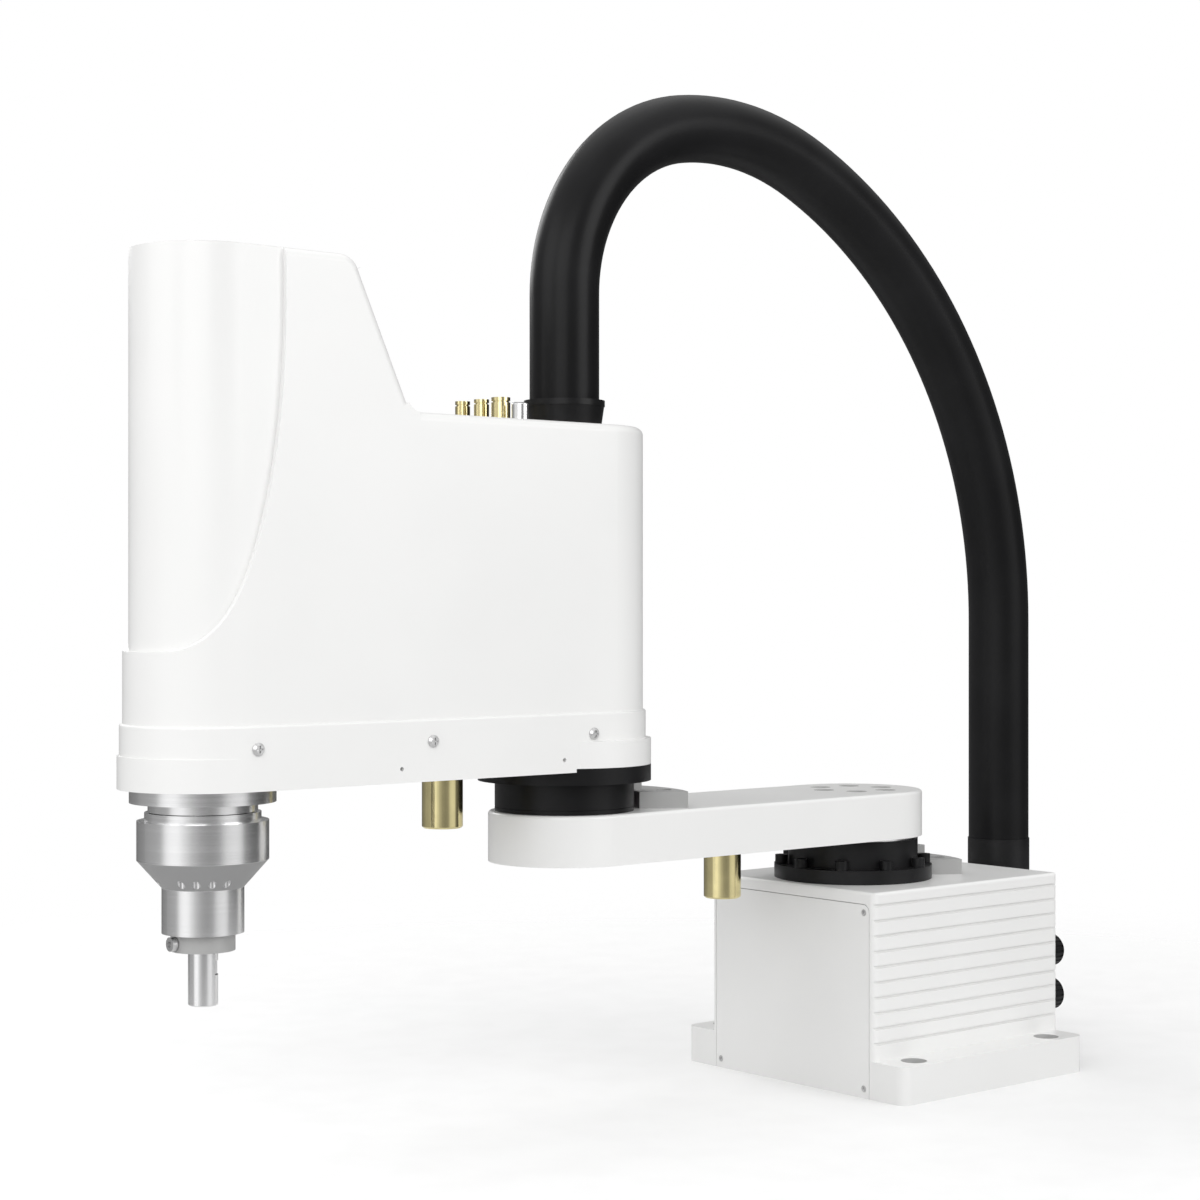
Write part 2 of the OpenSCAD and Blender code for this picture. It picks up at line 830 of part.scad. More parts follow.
module arm_2_casting() {
    inner = deck_half + upstand_t;
    color(white_paint)
        difference() {
            union() {
                translate([0, 0, arm_2_z])
                    linear_extrude(arm_2_rim_h) {
                        arm_2_outline(arm_2_w / 2);
                        translate([j2_x, 0]) circle(d = ring_boss_d);
                    }
                // Upstand that the cover slips over
                translate([0, 0, band_z - 1])
                    linear_extrude(upstand_h + 1) stadium(cover_rear_x, cover_front_x, inner);
            }
            // Room above the floor
            translate([0, 0, arm_2_z + arm_2_floor_t + ring_step])
                linear_extrude(arm_2_rim_h + upstand_h)
                    stadium(cover_rear_x, cover_front_x, deck_half);
            // Step over the output ring
            translate([j2_x - ring_boss_d, -ring_boss_d, arm_2_z - 1])
                cube([step_x - j2_x + ring_boss_d, 2 * ring_boss_d, ring_step + 1]);
            translate([j2_x, 0, arm_2_z - 1])
                cylinder(h = ring_step + 1, r = j2_ring_d / 2 + run_gap);
            // Room for the second joint's motor and for the quill's bearing
            translate([j2_x, 0, arm_2_z - 1]) cylinder(h = arm_2_rim_h, d = motor_2_pilot + 1);
            translate([quill_x, 0, arm_2_z - 1])
                cylinder(h = arm_2_rim_h, r = flange_spigot_d / 2 + fit_gap);
            translate([j2_x + pin_2_x, 0, arm_2_z - 1])
                cylinder(h = 9, r = pin_stud_d / 2 + screw_gap);
            for (x = side_hole_xs, s = [-1, 1])
                translate([j2_x + x, s * (arm_2_w / 2 + 1), arm_2_z + side_hole_z])
                    rotate([s * 90, 0, 0]) cylinder(h = side_hole_depth + 1, d = side_hole_d);
            cover_screw_places()
                rotate([-90, 0, 0])
                    translate([0, 0, -cover_screw_len - 1])
                        cylinder(h = cover_screw_len + 2, r = cover_screw_d / 2 + screw_gap);
            upper_post_places() screw_room(post_stud_d, post_stud_len + 1);
            lower_post_places() screw_room(post_stud_d, post_stud_len + 1);
            flange_bolt_places()
                translate([0, 0, -1])
                    cylinder(h = arm_2_floor_t + 4, r = flange_bolt_d / 2 + screw_gap);
        }
}

// The tall front of the cover, cut back to the slope and rounded at its crown and foot
module tall_block(inset) {
    intersection() {
        round_block(cover_rear_x + 40, cover_front_x, cover_half - inset, band_z + 20,
                    tall_top - inset, max(cover_round - inset, 1));
        translate([0, arm_2_w, 0])
            rotate([90, 0, 0])
                linear_extrude(2 * arm_2_w) slope_region(inset);
    }
}

// What a rounded edge takes off a square corner at the origin, outside being +X and +Y
module edge_waste(r) {
    difference() {
        translate([-r, -r]) square(2 * r);
        translate([-r, -r]) circle(r);
        translate([-2 * r, -2 * r]) square([r, 4 * r]);
        translate([-2 * r, -2 * r]) square([4 * r, r]);
    }
}

// Rounds the two edges of the slope and of its crown
module slope_edges() {
    foot = foot_centre(0);
    crown = crown_centre(0);
    start = foot + foot_fillet * [sin(slope_angle), -cos(slope_angle)];
    stop = crown + crown_round * [-sin(slope_angle), cos(slope_angle)];
    for (side = [0, 1])
        mirror([0, side, 0]) {
            translate([start[0], cover_half, start[1]])
                rotate([0, 90 - slope_angle, 0])
                    rotate([0, 0, 180])
                        linear_extrude(norm(stop - start))
                            mirror([0, 1]) edge_waste(cover_round);
            translate([crown[0], cover_half, crown[1]])
                rotate([90, 0, 0])
                    rotate([0, 0, 90])
                        rotate_extrude(angle = slope_angle)
                            translate([crown_round, 0])
                                mirror([0, 1]) edge_waste(cover_round);
        }
}

// Centres of the arcs at the slope's foot and crown, for the outside or an inset inside
function foot_centre(inset) =
    let (x = quill_x - slope_back + inset / sin(slope_angle) - inset / tan(slope_angle),
         r = foot_fillet + inset)
    [x - r * tan(slope_angle / 2), low_top - inset + r];

function crown_centre(inset) =
    let (x = quill_x - slope_back + inset / sin(slope_angle)
             + (tall_top - inset - low_top) / tan(slope_angle),
         r = crown_round - inset)
    [x + r * tan(slope_angle / 2), tall_top - inset - r];

// Side outline of the tall part: a fillet at the slope's foot and an arc at its crown
module slope_region(inset) {
    foot = foot_centre(inset);
    crown = crown_centre(inset);
    foot_r = foot_fillet + inset;
    crown_r = crown_round - inset;
    steps = 10;
    polygon(concat(
        [[foot[0], band_z]],
        [for (i = [0 : steps])
            let (a = slope_angle * i / steps) foot + foot_r * [sin(a), -cos(a)]],
        [for (i = [0 : steps])
            let (a = slope_angle * (1 - i / steps)) crown + crown_r * [-sin(a), cos(a)]],
        [[quill_x + arm_2_w, tall_top - inset], [quill_x + arm_2_w, band_z]]
    ));
}

// Side outline of the recess, from its swept edge forward
module recess_region(grow) {
    edge_x = quill_x - recess_back - grow;
    low_z = band_top + recess_rise - grow;
    steps = 24;
    centre_x = edge_x + sweep_len + grow;
    centre_z = low_z + sweep_h + grow;
    polygon(concat(
        [[edge_x, tall_top + 20]],
        [for (i = [0 : steps])
            [centre_x - (sweep_len + grow) * cos(90 * i / steps),
             centre_z - (sweep_h + grow) * sin(90 * i / steps)]],
        [[quill_x + arm_2_w, low_z], [quill_x + arm_2_w, tall_top + 20]]
    ));
}

module recess_prism(grow) {
    translate([0, arm_2_w, 0])
        rotate([90, 0, 0])
            linear_extrude(2 * arm_2_w) recess_region(grow);
}

// What the recess takes off a cover of the given inset
module recess_cut(inset) {
    difference() {
        recess_prism(inset);
        round_block(cover_rear_x + 40, cover_front_x, cover_half - recess_depth - inset,
                    band_z, tall_top + 5, 1);
    }
}

// The cover's outside from the level foot upwards, or its inside with an inset
module cover_outside(inset, foot) {
    difference() {
        union() {
            round_block(cover_rear_x, cover_front_x, cover_half - inset, foot,
                        low_top - inset, max(cover_round - inset, 1));
            tall_block(inset);
        }
        recess_cut(inset);
    }
}

module arm_2_cover() {
    color(white_paint)
        difference() {
            union() {
                cover_outside(0, band_z + 1);
                round_block(cover_rear_x, cover_front_x, cover_half + band_out, band_z,
                            band_top, 1.2);
            }
            slope_edges();
            cover_outside(cover_wall, band_z - 1);
            translate([0, 0, low_top - 10]) {
                fitting_places()
                    cylinder(h = 20, r = fitting_stem_d / 2 + screw_gap);
                button_place()
                    cylinder(h = 20, r = button_d / 2 + run_gap);
                translate([j2_x, 0, 0])
                    cylinder(h = 20, d = conduit_d - 2 * conduit_wall - 4);
            }
            cover_screw_places()
                rotate([-90, 0, 0])
                    translate([0, 0, -cover_screw_len - 1])
                        cylinder(h = cover_screw_len + 4, r = cover_screw_d / 2 + screw_gap);
            flange_screw_places()
                translate([0, 0, -6]) cylinder(h = 10, r = 1.2 + screw_gap);
        }
}

module cover_screws() {
    color(bare_steel)
        cover_screw_places()
            rotate([-90, 0, 0])
                difference() {
                    union() {
                        translate([0, 0, -cover_screw_len])
                            cylinder(h = cover_screw_len, d = cover_screw_d);
                        cylinder(h = 0.8, d = cover_screw_head);
                        translate([0, 0, 0.8])
                            cylinder(h = 1.2, d1 = cover_screw_head, d2 = cover_screw_head - 2.4);
                    }
                    for (turn = [0, 90])
                        rotate([0, 0, turn])
                            translate([-slot_len / 2, -slot_w / 2, 1])
                                cube([slot_len, slot_w, 2]);
                }
}

module j2_stop_pin() {
    color(brass_tone)
        translate([j2_x + pin_2_x, 0, arm_2_z])
            difference() {
                stop_pin(pin_2_len);
                translate([0, 0, 7]) cylinder(h = 20, d = 2 * pin_stud_d);
            }
}

// Drives inside the second arm

motor_2_gap = 7.4;
motor_2_side = 2 * (deck_half - motor_2_gap);
motor_2_len = 105;
motor_2_pilot = 36;
motor_side = 40;
motor_len = 78;
motor_pilot = 24;
motor_shaft_r = 4;
pulley_big_r = 24;
pulley_small_r = 12;
small_teeth = 18;
big_teeth = 2 * small_teeth;
// Clearance of a pulley on its seat, on the radius
press_gap = 0.02;
motor_space = 39;
belt_span = 62;
motor_4_x = j2_x + motor_2_side / 2 + motor_space + motor_side / 2;
motor_3_x = quill_x - pulley_big_r - belt_span - pulley_small_r;
belt_w = 9;
belt_t = 1.5;
floor_z = arm_2_z + arm_2_floor_t + ring_step;
j4_belt_z = floor_z + 18;
belt_rise = 58;
j3_belt_z = j4_belt_z + belt_rise;
frame_z = j3_belt_z + belt_w + 4;
frame_t = 7;
post_margin = 0.9;
post_belt_gap = 0.7;
post_d = deck_half - post_margin - pulley_big_r - run_gap - belt_t - post_belt_gap;
post_y = deck_half - post_margin - post_d / 2;
post_back = 26;
post_ahead = 30;
post_front = 36;
post_side = 17;
plate_margin = 7;
plate_half = deck_half - 0.4;
post_stud_d = 4;
post_stud_len = 5;
nut_d = 32;
nut_h = 30;
nut_z = j3_belt_z - 2;
nut_top = nut_z + nut_h;
bearing_d = 50;

module j2_motor() {
    color(dark_steel)
        translate([j2_x, 0, floor_z])
            rotate([0, 0, 180]) servo_body(motor_2_side, motor_2_len, motor_2_pilot);
}

module j3_motor() {
    color(dark_steel)
        translate([motor_3_x, 0, frame_z + frame_t])
            rotate([0, 0, 180]) servo_body(motor_side, motor_len, motor_pilot);
}

bridge_z = j4_belt_z + belt_w + 4;

module j4_motor() {
    color(dark_steel)
        translate([motor_4_x, 0, bridge_z + frame_t - 2])
            servo_body(motor_side, motor_len, motor_pilot);
}

// Places of the posts under the upper plate and under the lower one
module upper_post_places() {
    for (x = [motor_3_x - post_back, motor_3_x + post_ahead, quill_x - post_front], s = [-1, 1])
        translate([x, s * post_y, floor_z]) children();
}

module lower_post_places() {
    for (x = [motor_4_x - post_side, motor_4_x + post_side], s = [-1, 1])
        translate([x, s * post_y, floor_z]) children();
}

module j3_motor_plate() {
    color(bare_steel)
        difference() {
            union() {
                translate([motor_3_x - post_back - plate_margin, -plate_half, frame_z])
                    cube([quill_x - motor_3_x + post_back + plate_margin, 2 * plate_half,
                          frame_t]);
                translate([quill_x, 0, frame_z]) cylinder(h = frame_t, r = plate_half);
            }
            translate([motor_3_x, 0, frame_z - 1]) cylinder(h = frame_t + 2, d = motor_pilot + 1);
            translate([quill_x, 0, frame_z - 1])
                cylinder(h = frame_t + 2, r = bearing_d / 2 + fit_gap);
        }
}

module j4_motor_plate() {
    color(bare_steel)
        difference() {
            translate([motor_4_x - post_side - plate_margin, -plate_half, bridge_z])
                cube([2 * (post_side + plate_margin), 2 * plate_half, frame_t - 2]);
            translate([motor_4_x, 0, bridge_z - 1]) cylinder(h = frame_t, d = motor_pilot + 1);
        }
}

module motor_plate_posts() {
    color(bare_steel) {
        upper_post_places() frame_post(frame_z);
        lower_post_places() frame_post(bridge_z);
    }
}

module frame_post(top) {
    cylinder(h = top - floor_z, d = post_d);
    translate([0, 0, -post_stud_len]) cylinder(h = post_stud_len + 1, d = post_stud_d);
}

// The loop round two pulleys on the X axis, as a plan outline
module belt_loop(x1, r1, x2, r2) {
    tilt = acos((r1 - r2) / (x2 - x1));
    steps = 24;
    polygon(concat(
        [for (i = [0 : steps])
            let (a = tilt + (360 - 2 * tilt) * i / steps) [x1 + r1 * cos(a), r1 * sin(a)]],
        [for (i = [0 : steps])
            let (a = -tilt + 2 * tilt * i / steps) [x2 + r2 * cos(a), r2 * sin(a)]]
    ));
}

module drive_belt(x, z) {
    color(belt_black)
        translate([0, 0, z])
            linear_extrude(belt_w)
                difference() {
                    belt_loop(x, pulley_small_r + run_gap + belt_t,
                              quill_x, pulley_big_r + run_gap + belt_t);
                    belt_loop(x, pulley_small_r + run_gap, quill_x, pulley_big_r + run_gap);
                }
}

module j3_belt() {
    drive_belt(motor_3_x, j3_belt_z);
}

module j4_belt() {
    drive_belt(motor_4_x, j4_belt_z);
}

// A toothed pulley round the Z axis, as wide as the belt and two flanges
module toothed_pulley(r, bore, teeth) {
    flange = 1.2;
    difference() {
        union() {
            cylinder(h = belt_w, r = r);
            for (z = [-flange - run_gap, belt_w + run_gap])
                translate([0, 0, z]) cylinder(h = flange, r = r + 2.4);
            translate([0, 0, -flange - run_gap])
                cylinder(h = belt_w + 2 * flange + 2 * run_gap, r = r - 1.5);
        }
        for (i = [0 : teeth - 1])
            rotate([0, 0, i * 360 / teeth])
                translate([r, 0, -run_gap / 2])
                    cylinder(h = belt_w + run_gap, r = 0.9, $fn = 16);
        translate([0, 0, -5]) cylinder(h = belt_w + 10, r = bore);
    }
}

module j3_motor_pulley() {
    color(bare_steel)
        translate([motor_3_x, 0, j3_belt_z]) {
            toothed_pulley(pulley_small_r, motor_shaft_r, small_teeth);
            translate([0, 0, -1.5]) cylinder(h = frame_z - j3_belt_z + 1, r = motor_shaft_r + eps);
        }
}

module j4_motor_pulley() {
    color(bare_steel)
        translate([motor_4_x, 0, j4_belt_z]) {
            toothed_pulley(pulley_small_r, motor_shaft_r, small_teeth);
            translate([0, 0, -1.5]) cylinder(h = bridge_z - j4_belt_z + 1, r = motor_shaft_r + eps);
        }
}

module j3_pulley() {
    color(bare_steel)
        translate([quill_x, 0, j3_belt_z]) toothed_pulley(pulley_big_r, nut_d / 2 + press_gap, big_teeth);
}

module screw_nut() {
    color(dark_steel)
        translate([quill_x, 0, nut_z])
            difference() {
                cylinder(h = nut_h, d = nut_d);
                translate([0, 0, -1]) cylinder(h = nut_h + 2, r = shaft_d / 2 + fit_gap);
            }
}

module nut_bearing() {
    color(bare_steel)
        translate([quill_x, 0, frame_z - 1])
            difference() {
                cylinder(h = frame_t + 3, d = bearing_d);
                translate([0, 0, -1])
                    cylinder(h = frame_t + 5, r = nut_d / 2 + fit_gap);
            }
}

// Quill and spline drive

flange_spigot_d = 62;
neck_h = 5;
neck_d = 58.4;
collar_ring_h = 4.5;
collar_ring_d = 62;
cup_h = 21;
cone_h = 14.8;
sleeve_h = 24.2;
seal_gap = 0.3;
flange_z = arm_2_z - flange_t;
neck_z = flange_z - neck_h;
ring_top = neck_z - seal_gap;
cup_top = ring_top - collar_ring_h;
cone_top = cup_top - cup_h;
sleeve_top = cone_top - cone_h;
sleeve_z = sleeve_top - sleeve_h;
collar_z = sleeve_z - run_gap - collar_h;
shaft_z = collar_z - tool_len;
upper_collar_z = nut_top + quill_stroke + 2;
shaft_top = upper_collar_z + collar_h + 3;
tube_d = 36;
tube_top = j4_belt_z + belt_w + 2;
race_d = 52;
race_lip = 3;
spline_nut_d = 31;
spline_nut_h = 60;
sleeve_lip = 3;
undercut_below = 0.5;
undercut_h = 1.2;
undercut_depth = 0.3;
flat_turn = 50;
flat_depth = 1;
flat_below = 13.2;
flat_h = 7.6;
cone_hole_d = 4.2;
cone_hole_turn = 61;
cone_hole_out = 3.1;
cone_hole_depth = 10;
flange_bolt_d = 4;

module flange_bolt_places() {
    translate([quill_x, 0, arm_2_z])
        ring_of(4, 35.2, 45) children();
}

module spline_flange() {
    color(bare_steel)
        difference() {
            union() {
                translate([quill_x, 0, flange_z]) cylinder(h = flange_t, d = flange_d);
                translate([quill_x, 0, flange_z])
                    cylinder(h = floor_z - flange_z + 4, d = flange_spigot_d);
                translate([quill_x, 0, neck_z]) cylinder(h = neck_h + 1, d = neck_d);
            }
            translate([quill_x, 0, neck_z + race_lip])
                cylinder(h = floor_z, r = race_d / 2 + fit_gap);
            translate([quill_x, 0, neck_z - 1])
                cylinder(h = floor_z, r = tube_d / 2 + 1);
        }
}

module spline_bearing() {
    color(bare_steel)
        translate([quill_x, 0, neck_z + race_lip + run_gap])
            difference() {
                cylinder(h = floor_z - neck_z - race_lip + 1, d = race_d);
                translate([0, 0, -1]) cylinder(h = floor_z, r = tube_d / 2 + fit_gap);
            }
}

// Holes round the foot of the cone: four in front and behind, two at each side
module cone_holes() {
    angles = [for (half = [0, 180], a = [-29, -9.7, 9.7, 29, 76, 104]) half + a];
    for (a = angles)
        rotate([0, 0, cone_hole_turn + a])
            translate([sleeve_d / 2 + cone_hole_out, 0, sleeve_top + 0.2])
                cylinder(h = cone_hole_depth, d = cone_hole_d, $fn = 24);
}

module spline_housing() {
    color(bare_steel)
        translate([quill_x, 0, 0])
            difference() {
                union() {
                    translate([0, 0, cup_top - 1])
                        cylinder(h = collar_ring_h + 1, d = collar_ring_d);
                    translate([0, 0, cone_top]) cylinder(h = cup_h, d = cup_d);
                    translate([0, 0, sleeve_top])
                        cylinder(h = cone_h, d1 = sleeve_d, d2 = cup_d);
                    translate([0, 0, sleeve_z]) cylinder(h = sleeve_h, d = sleeve_d);
                    translate([0, 0, ring_top - 1])
                        cylinder(h = tube_top - ring_top + 1, d = tube_d);
                }
                translate([0, 0, sleeve_z + sleeve_lip])
                    cylinder(h = tube_top - sleeve_z, r = spline_nut_d / 2 + fit_gap);
                translate([0, 0, sleeve_z - 1])
                    cylinder(h = sleeve_lip + 2, r = shaft_d / 2 + 1);
                cone_holes();
            }
}

module spline_nut() {
    color(dark_steel)
        translate([quill_x, 0, sleeve_z + sleeve_lip])
            difference() {
                cylinder(h = spline_nut_h, d = spline_nut_d);
                translate([0, 0, -1])
                    cylinder(h = spline_nut_h + 2, r = shaft_d / 2 + fit_gap);
            }
}

module j4_pulley() {
    color(bare_steel)
        translate([quill_x, 0, j4_belt_z]) toothed_pulley(pulley_big_r, tube_d / 2 + press_gap, big_teeth);
}

module quill_shaft() {
    color(bare_steel)
        translate([quill_x, 0, shaft_z])
            difference() {
                union() {
                    cylinder(h = 0.6, d1 = shaft_d - 1.2, d2 = shaft_d);
                    translate([0, 0, 0.6])
                        cylinder(h = shaft_top - shaft_z - 0.6, d = shaft_d);
                }
                translate([0, 0, -1])
                    cylinder(h = shaft_top - shaft_z + 2, d = shaft_bore);
                // Undercut at the stop collar's lower face
                translate([0, 0, tool_len - undercut_below])
                    difference() {
                        cylinder(h = undercut_h, d = shaft_d + 2);
                        translate([0, 0, -1])
                            cylinder(h = undercut_h + 2, d = shaft_d - 2 * undercut_depth);
                    }
                // Flat for the tool's clamp screw
                rotate([0, 0, flat_turn])
                    translate([-shaft_d, shaft_d / 2 - flat_depth, tool_len - flat_below])
                        cube([2 * shaft_d, shaft_d, flat_h]);
            }
}

// A stop collar round the shaft, standing on z = 0
module stop_collar(d) {
    difference() {
        cylinder(h = collar_h, d = d);
        translate([0, 0, -1]) cylinder(h = collar_h + 2, d = shaft_d);
    }
}

clamp_d = 7.6;
clamp_out = 3;

module lower_stop_collar() {
    color(block_grey)
        translate([quill_x, 0, collar_z])
            difference() {
                stop_collar(collar_d);
                translate([shaft_d / 2 + 1, 0, collar_h / 2])
                    rotate([0, 90, 0]) cylinder(h = collar_d, d = 4 + 2 * screw_gap);
            }
}

module collar_clamp_screw() {
    color(dark_steel)
        translate([quill_x + collar_d / 2 + 0.2, 0, collar_z + collar_h / 2])
            rotate([0, 90, 0]) socket_screw(4, clamp_d, clamp_out, 7);
}

module upper_stop_collar() {
    color(block_grey) translate([quill_x, 0, upper_collar_z]) stop_collar(collar_d - 4);
}

// Conduit

conduit_seat = 147;
upper_flange_h = 16;
upper_lip_h = 3.5;
upper_lip_d = 48.8;
bend_3_angle = 180 - bend_1_angle - bend_2_angle;
bend_3_r = (j2_x - conduit_x - bend_1_r * (1 - cos(bend_1_angle))
            - bend_2_r * (cos(bend_1_angle) - cos(bend_1_angle + bend_2_angle)))
           / (cos(bend_1_angle + bend_2_angle) + 1);
bends = [[bend_1_r, bend_1_angle], [bend_2_r, bend_2_angle], [bend_3_r, bend_3_angle]];
bend_start_z = low_top + upper_flange_h + conduit_rise;
bend_end_z = bend_start_z + bend_1_r * sin(bend_1_angle)
             + bend_2_r * (sin(bend_1_angle + bend_2_angle) - sin(bend_1_angle))
             - bend_3_r * sin(bend_1_angle + bend_2_angle);

elbow_wall = conduit_wall + 0.6;
elbow_d = conduit_d + 1.2;
bend_wall = 4;
spigot_len = 14;
spigot_wall = 1.5;
spigot_fit_d = conduit_d - 2 * conduit_wall - 2 * run_gap;

// The first and last bends reach this far into their neighbours, this much thinner
lap_angle = 0.5;
lap_step = 0.1;

module tube_section(d, wall) {
    difference() {
        circle(d = d);
        circle(d = d - 2 * wall);
    }
}

// One bend that starts upwards from the origin and turns towards -X, longer by lap at each end
module tube_bend(r, angle, d, wall, lap) {
    translate([-r, 0, 0])
        rotate([0, lap, 0])
            rotate([90, 0, 0])
                rotate_extrude(angle = angle + 2 * lap)
                    translate([r, 0]) tube_section(d, wall);
}

// The bends from number i onwards, then the straight run down to the base
module conduit_run(i) {
    if (i < len(bends)) {
        odd = i % 2;
        tube_bend(bends[i][0], bends[i][1], conduit_d - 2 * (1 - odd) * lap_step,
                  conduit_wall - 2 * (1 - odd) * lap_step, (1 - odd) * lap_angle);
        translate([-bends[i][0], 0, 0])
            rotate([0, -bends[i][1], 0])
                translate([bends[i][0], 0, 0]) conduit_run(i + 1);
    } else {
        linear_extrude(bend_end_z - conduit_seat) tube_section(conduit_d, conduit_wall);
    }
}

module conduit() {
    color(black_paint) {
        translate([j2_x, 0, low_top + upper_flange_h])
            linear_extrude(conduit_rise) tube_section(conduit_d, conduit_wall);
        translate([j2_x, 0, bend_start_z]) conduit_run(0);
    }
}

module conduit_elbow() {
    sleeve_top_z = conduit_seat;
    color(black_paint)
        difference() {
            union() {
                translate([-base_back, 0, elbow_z])
                    rotate([0, -90, 0]) cylinder(h = elbow_flange_t, d = elbow_flange_d);
                translate([conduit_x, 0, elbow_z + conduit_back])
                    linear_extrude(sleeve_top_z - elbow_z - conduit_back)
                        tube_section(elbow_d, elbow_wall);
                // Spigot inside the conduit
                translate([conduit_x, 0, elbow_z + conduit_back])
                    linear_extrude(sleeve_top_z - elbow_z - conduit_back + spigot_len)
                        tube_section(spigot_fit_d, spigot_wall);
                translate([-base_back, 0, elbow_z + conduit_back])
                    rotate([90, 180, 0])
                        rotate_extrude(angle = 90)
                            translate([conduit_back, 0]) tube_section(elbow_d, bend_wall);
            }
            translate([-base_back - elbow_flange_t - 1, 0, elbow_z])
                rotate([0, 90, 0]) cylinder(h = elbow_flange_t + 2, d = wiring_d);
        }
}

flange_screw_r = 20.6;

module flange_screw_places() {
    translate([j2_x, 0, low_top])
        ring_of(4, flange_screw_r + 5, 48) children();
}

module conduit_flange() {
    d = upper_lip_d;
    color(black_paint)
        translate([j2_x, 0, low_top])
            difference() {
                union() {
                    cylinder(h = upper_flange_h - upper_lip_h, d1 = d - 4.4, d2 = d - 0.8);
                    translate([0, 0, upper_flange_h - upper_lip_h])
                        cylinder(h = upper_lip_h, d = d);
                    translate([0, 0, upper_flange_h - 1])
                        cylinder(h = spigot_len + 1, d = spigot_fit_d);
                }
                translate([0, 0, -1])
                    cylinder(h = 60, d = conduit_d - 2 * conduit_wall - 4);
            }
}

module flange_screws() {
    color(bare_steel)
        flange_screw_places() {
            cylinder(h = 0.9, d = 5);
            translate([0, 0, 0.9]) cylinder(h = 0.9, d1 = 5, d2 = 3);
            translate([0, 0, -5]) cylinder(h = 5 + eps, d = 2.4);
        }
}

// Fittings on the cover's low top

fitting_ys = [for (k = [-2 : 0]) k * fitting_pitch - 0.6];
fitting_ds = [9, 9, 11.2];
fitting_stem_d = 6;
button_y = fitting_pitch - 0.6;
button_rise = 11.5;
button_edge = 0.6;
button_deep = 2;
button_tip_h = 3;
button_tip_d = 4;
switch_h = 16;
switch_d = 16;

module fitting_places() {
    for (y = fitting_ys)
        translate([j2_x + fitting_x, y, 0]) children();
}

module button_place() {
    translate([j2_x + fitting_x, button_y, 0]) children();
}

// A push-in air fitting: a body, a groove and a release collar
module air_fitting(i) {
    d = fitting_ds[i];
    color(brass_tone)
        translate([j2_x + fitting_x, fitting_ys[i], low_top])
            difference() {
                union() {
                    cylinder(h = fitting_h - 3, d = d);
                    translate([0, 0, fitting_h - 3]) cylinder(h = 1, d = d - 1.6);
                    translate([0, 0, fitting_h - 2]) cylinder(h = 2, d = d);
                    translate([0, 0, -8]) cylinder(h = 9, d = fitting_stem_d);
                }
                translate([0, 0, 2]) cylinder(h = fitting_h, d = d * 0.5);
                translate([0, 0, -13]) cylinder(h = 20, d = 3);
            }
}

module air_fitting_left() {
    air_fitting(0);
}

module air_fitting_middle() {
    air_fitting(1);
}

module air_fitting_right() {
    air_fitting(2);
}

module brake_button() {
    color(bare_steel)
        button_place()
            translate([0, 0, low_top - cover_wall - button_deep]) {
                body_h = cover_wall + button_deep + button_rise - button_edge;
                cylinder(h = body_h, d = button_d);
                translate([0, 0, body_h])
                    cylinder(h = button_edge, d1 = button_d, d2 = button_d - 2 * button_edge);
                translate([0, 0, -button_tip_h])
                    cylinder(h = button_tip_h + eps, d = button_tip_d);
            }
}

module brake_switch() {
    color(dark_steel)
        button_place()
            translate([0, 0, low_top - cover_wall])
                difference() {
                    translate([0, 0, -switch_h]) cylinder(h = switch_h - run_gap, d = switch_d);
                    translate([0, 0, -button_deep - 1 - button_travel])
                        cylinder(h = switch_h, r = button_d / 2 + run_gap);
                    translate([0, 0, -button_deep - button_tip_h - 1 - button_travel])
                        cylinder(h = switch_h, r = button_tip_d / 2 + run_gap);
                }
}

base_casting();
base_front_plate();
base_rear_panel();
base_plate_screws();
power_connector();
signal_connector();
conduit_elbow();
conduit();
j1_motor();
j1_reducer();
j1_reducer_screws();
j1_stop_block();
j1_block_bolts();
j1_output_hub();
arm_1_casting();
arm_1_screws();
j1_stop_pin();
j2_reducer();
j2_reducer_screws();
j2_stop_block();
j2_block_bolts();
j2_output_ring();
arm_2_casting();
arm_2_cover();
cover_screws();
j2_stop_pin();
j2_motor();
j3_motor();
j4_motor();
j3_motor_plate();
j4_motor_plate();
motor_plate_posts();
j3_belt();
j4_belt();
nut_bearing();
spline_flange();
spline_bearing();
air_fitting_left();
air_fitting_middle();
air_fitting_right();
conduit_flange();
flange_screws();
brake_switch();
brake_button();
spline_housing();
spline_nut();
j4_pulley();
screw_nut();
j3_pulley();
j3_motor_pulley();
j4_motor_pulley();
quill_shaft();
lower_stop_collar();
upper_stop_collar();
collar_clamp_screw();
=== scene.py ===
"""Visual model of a white SCARA robot: finishes, conduit and studio, as an add-on run as a script."""

import json
import math

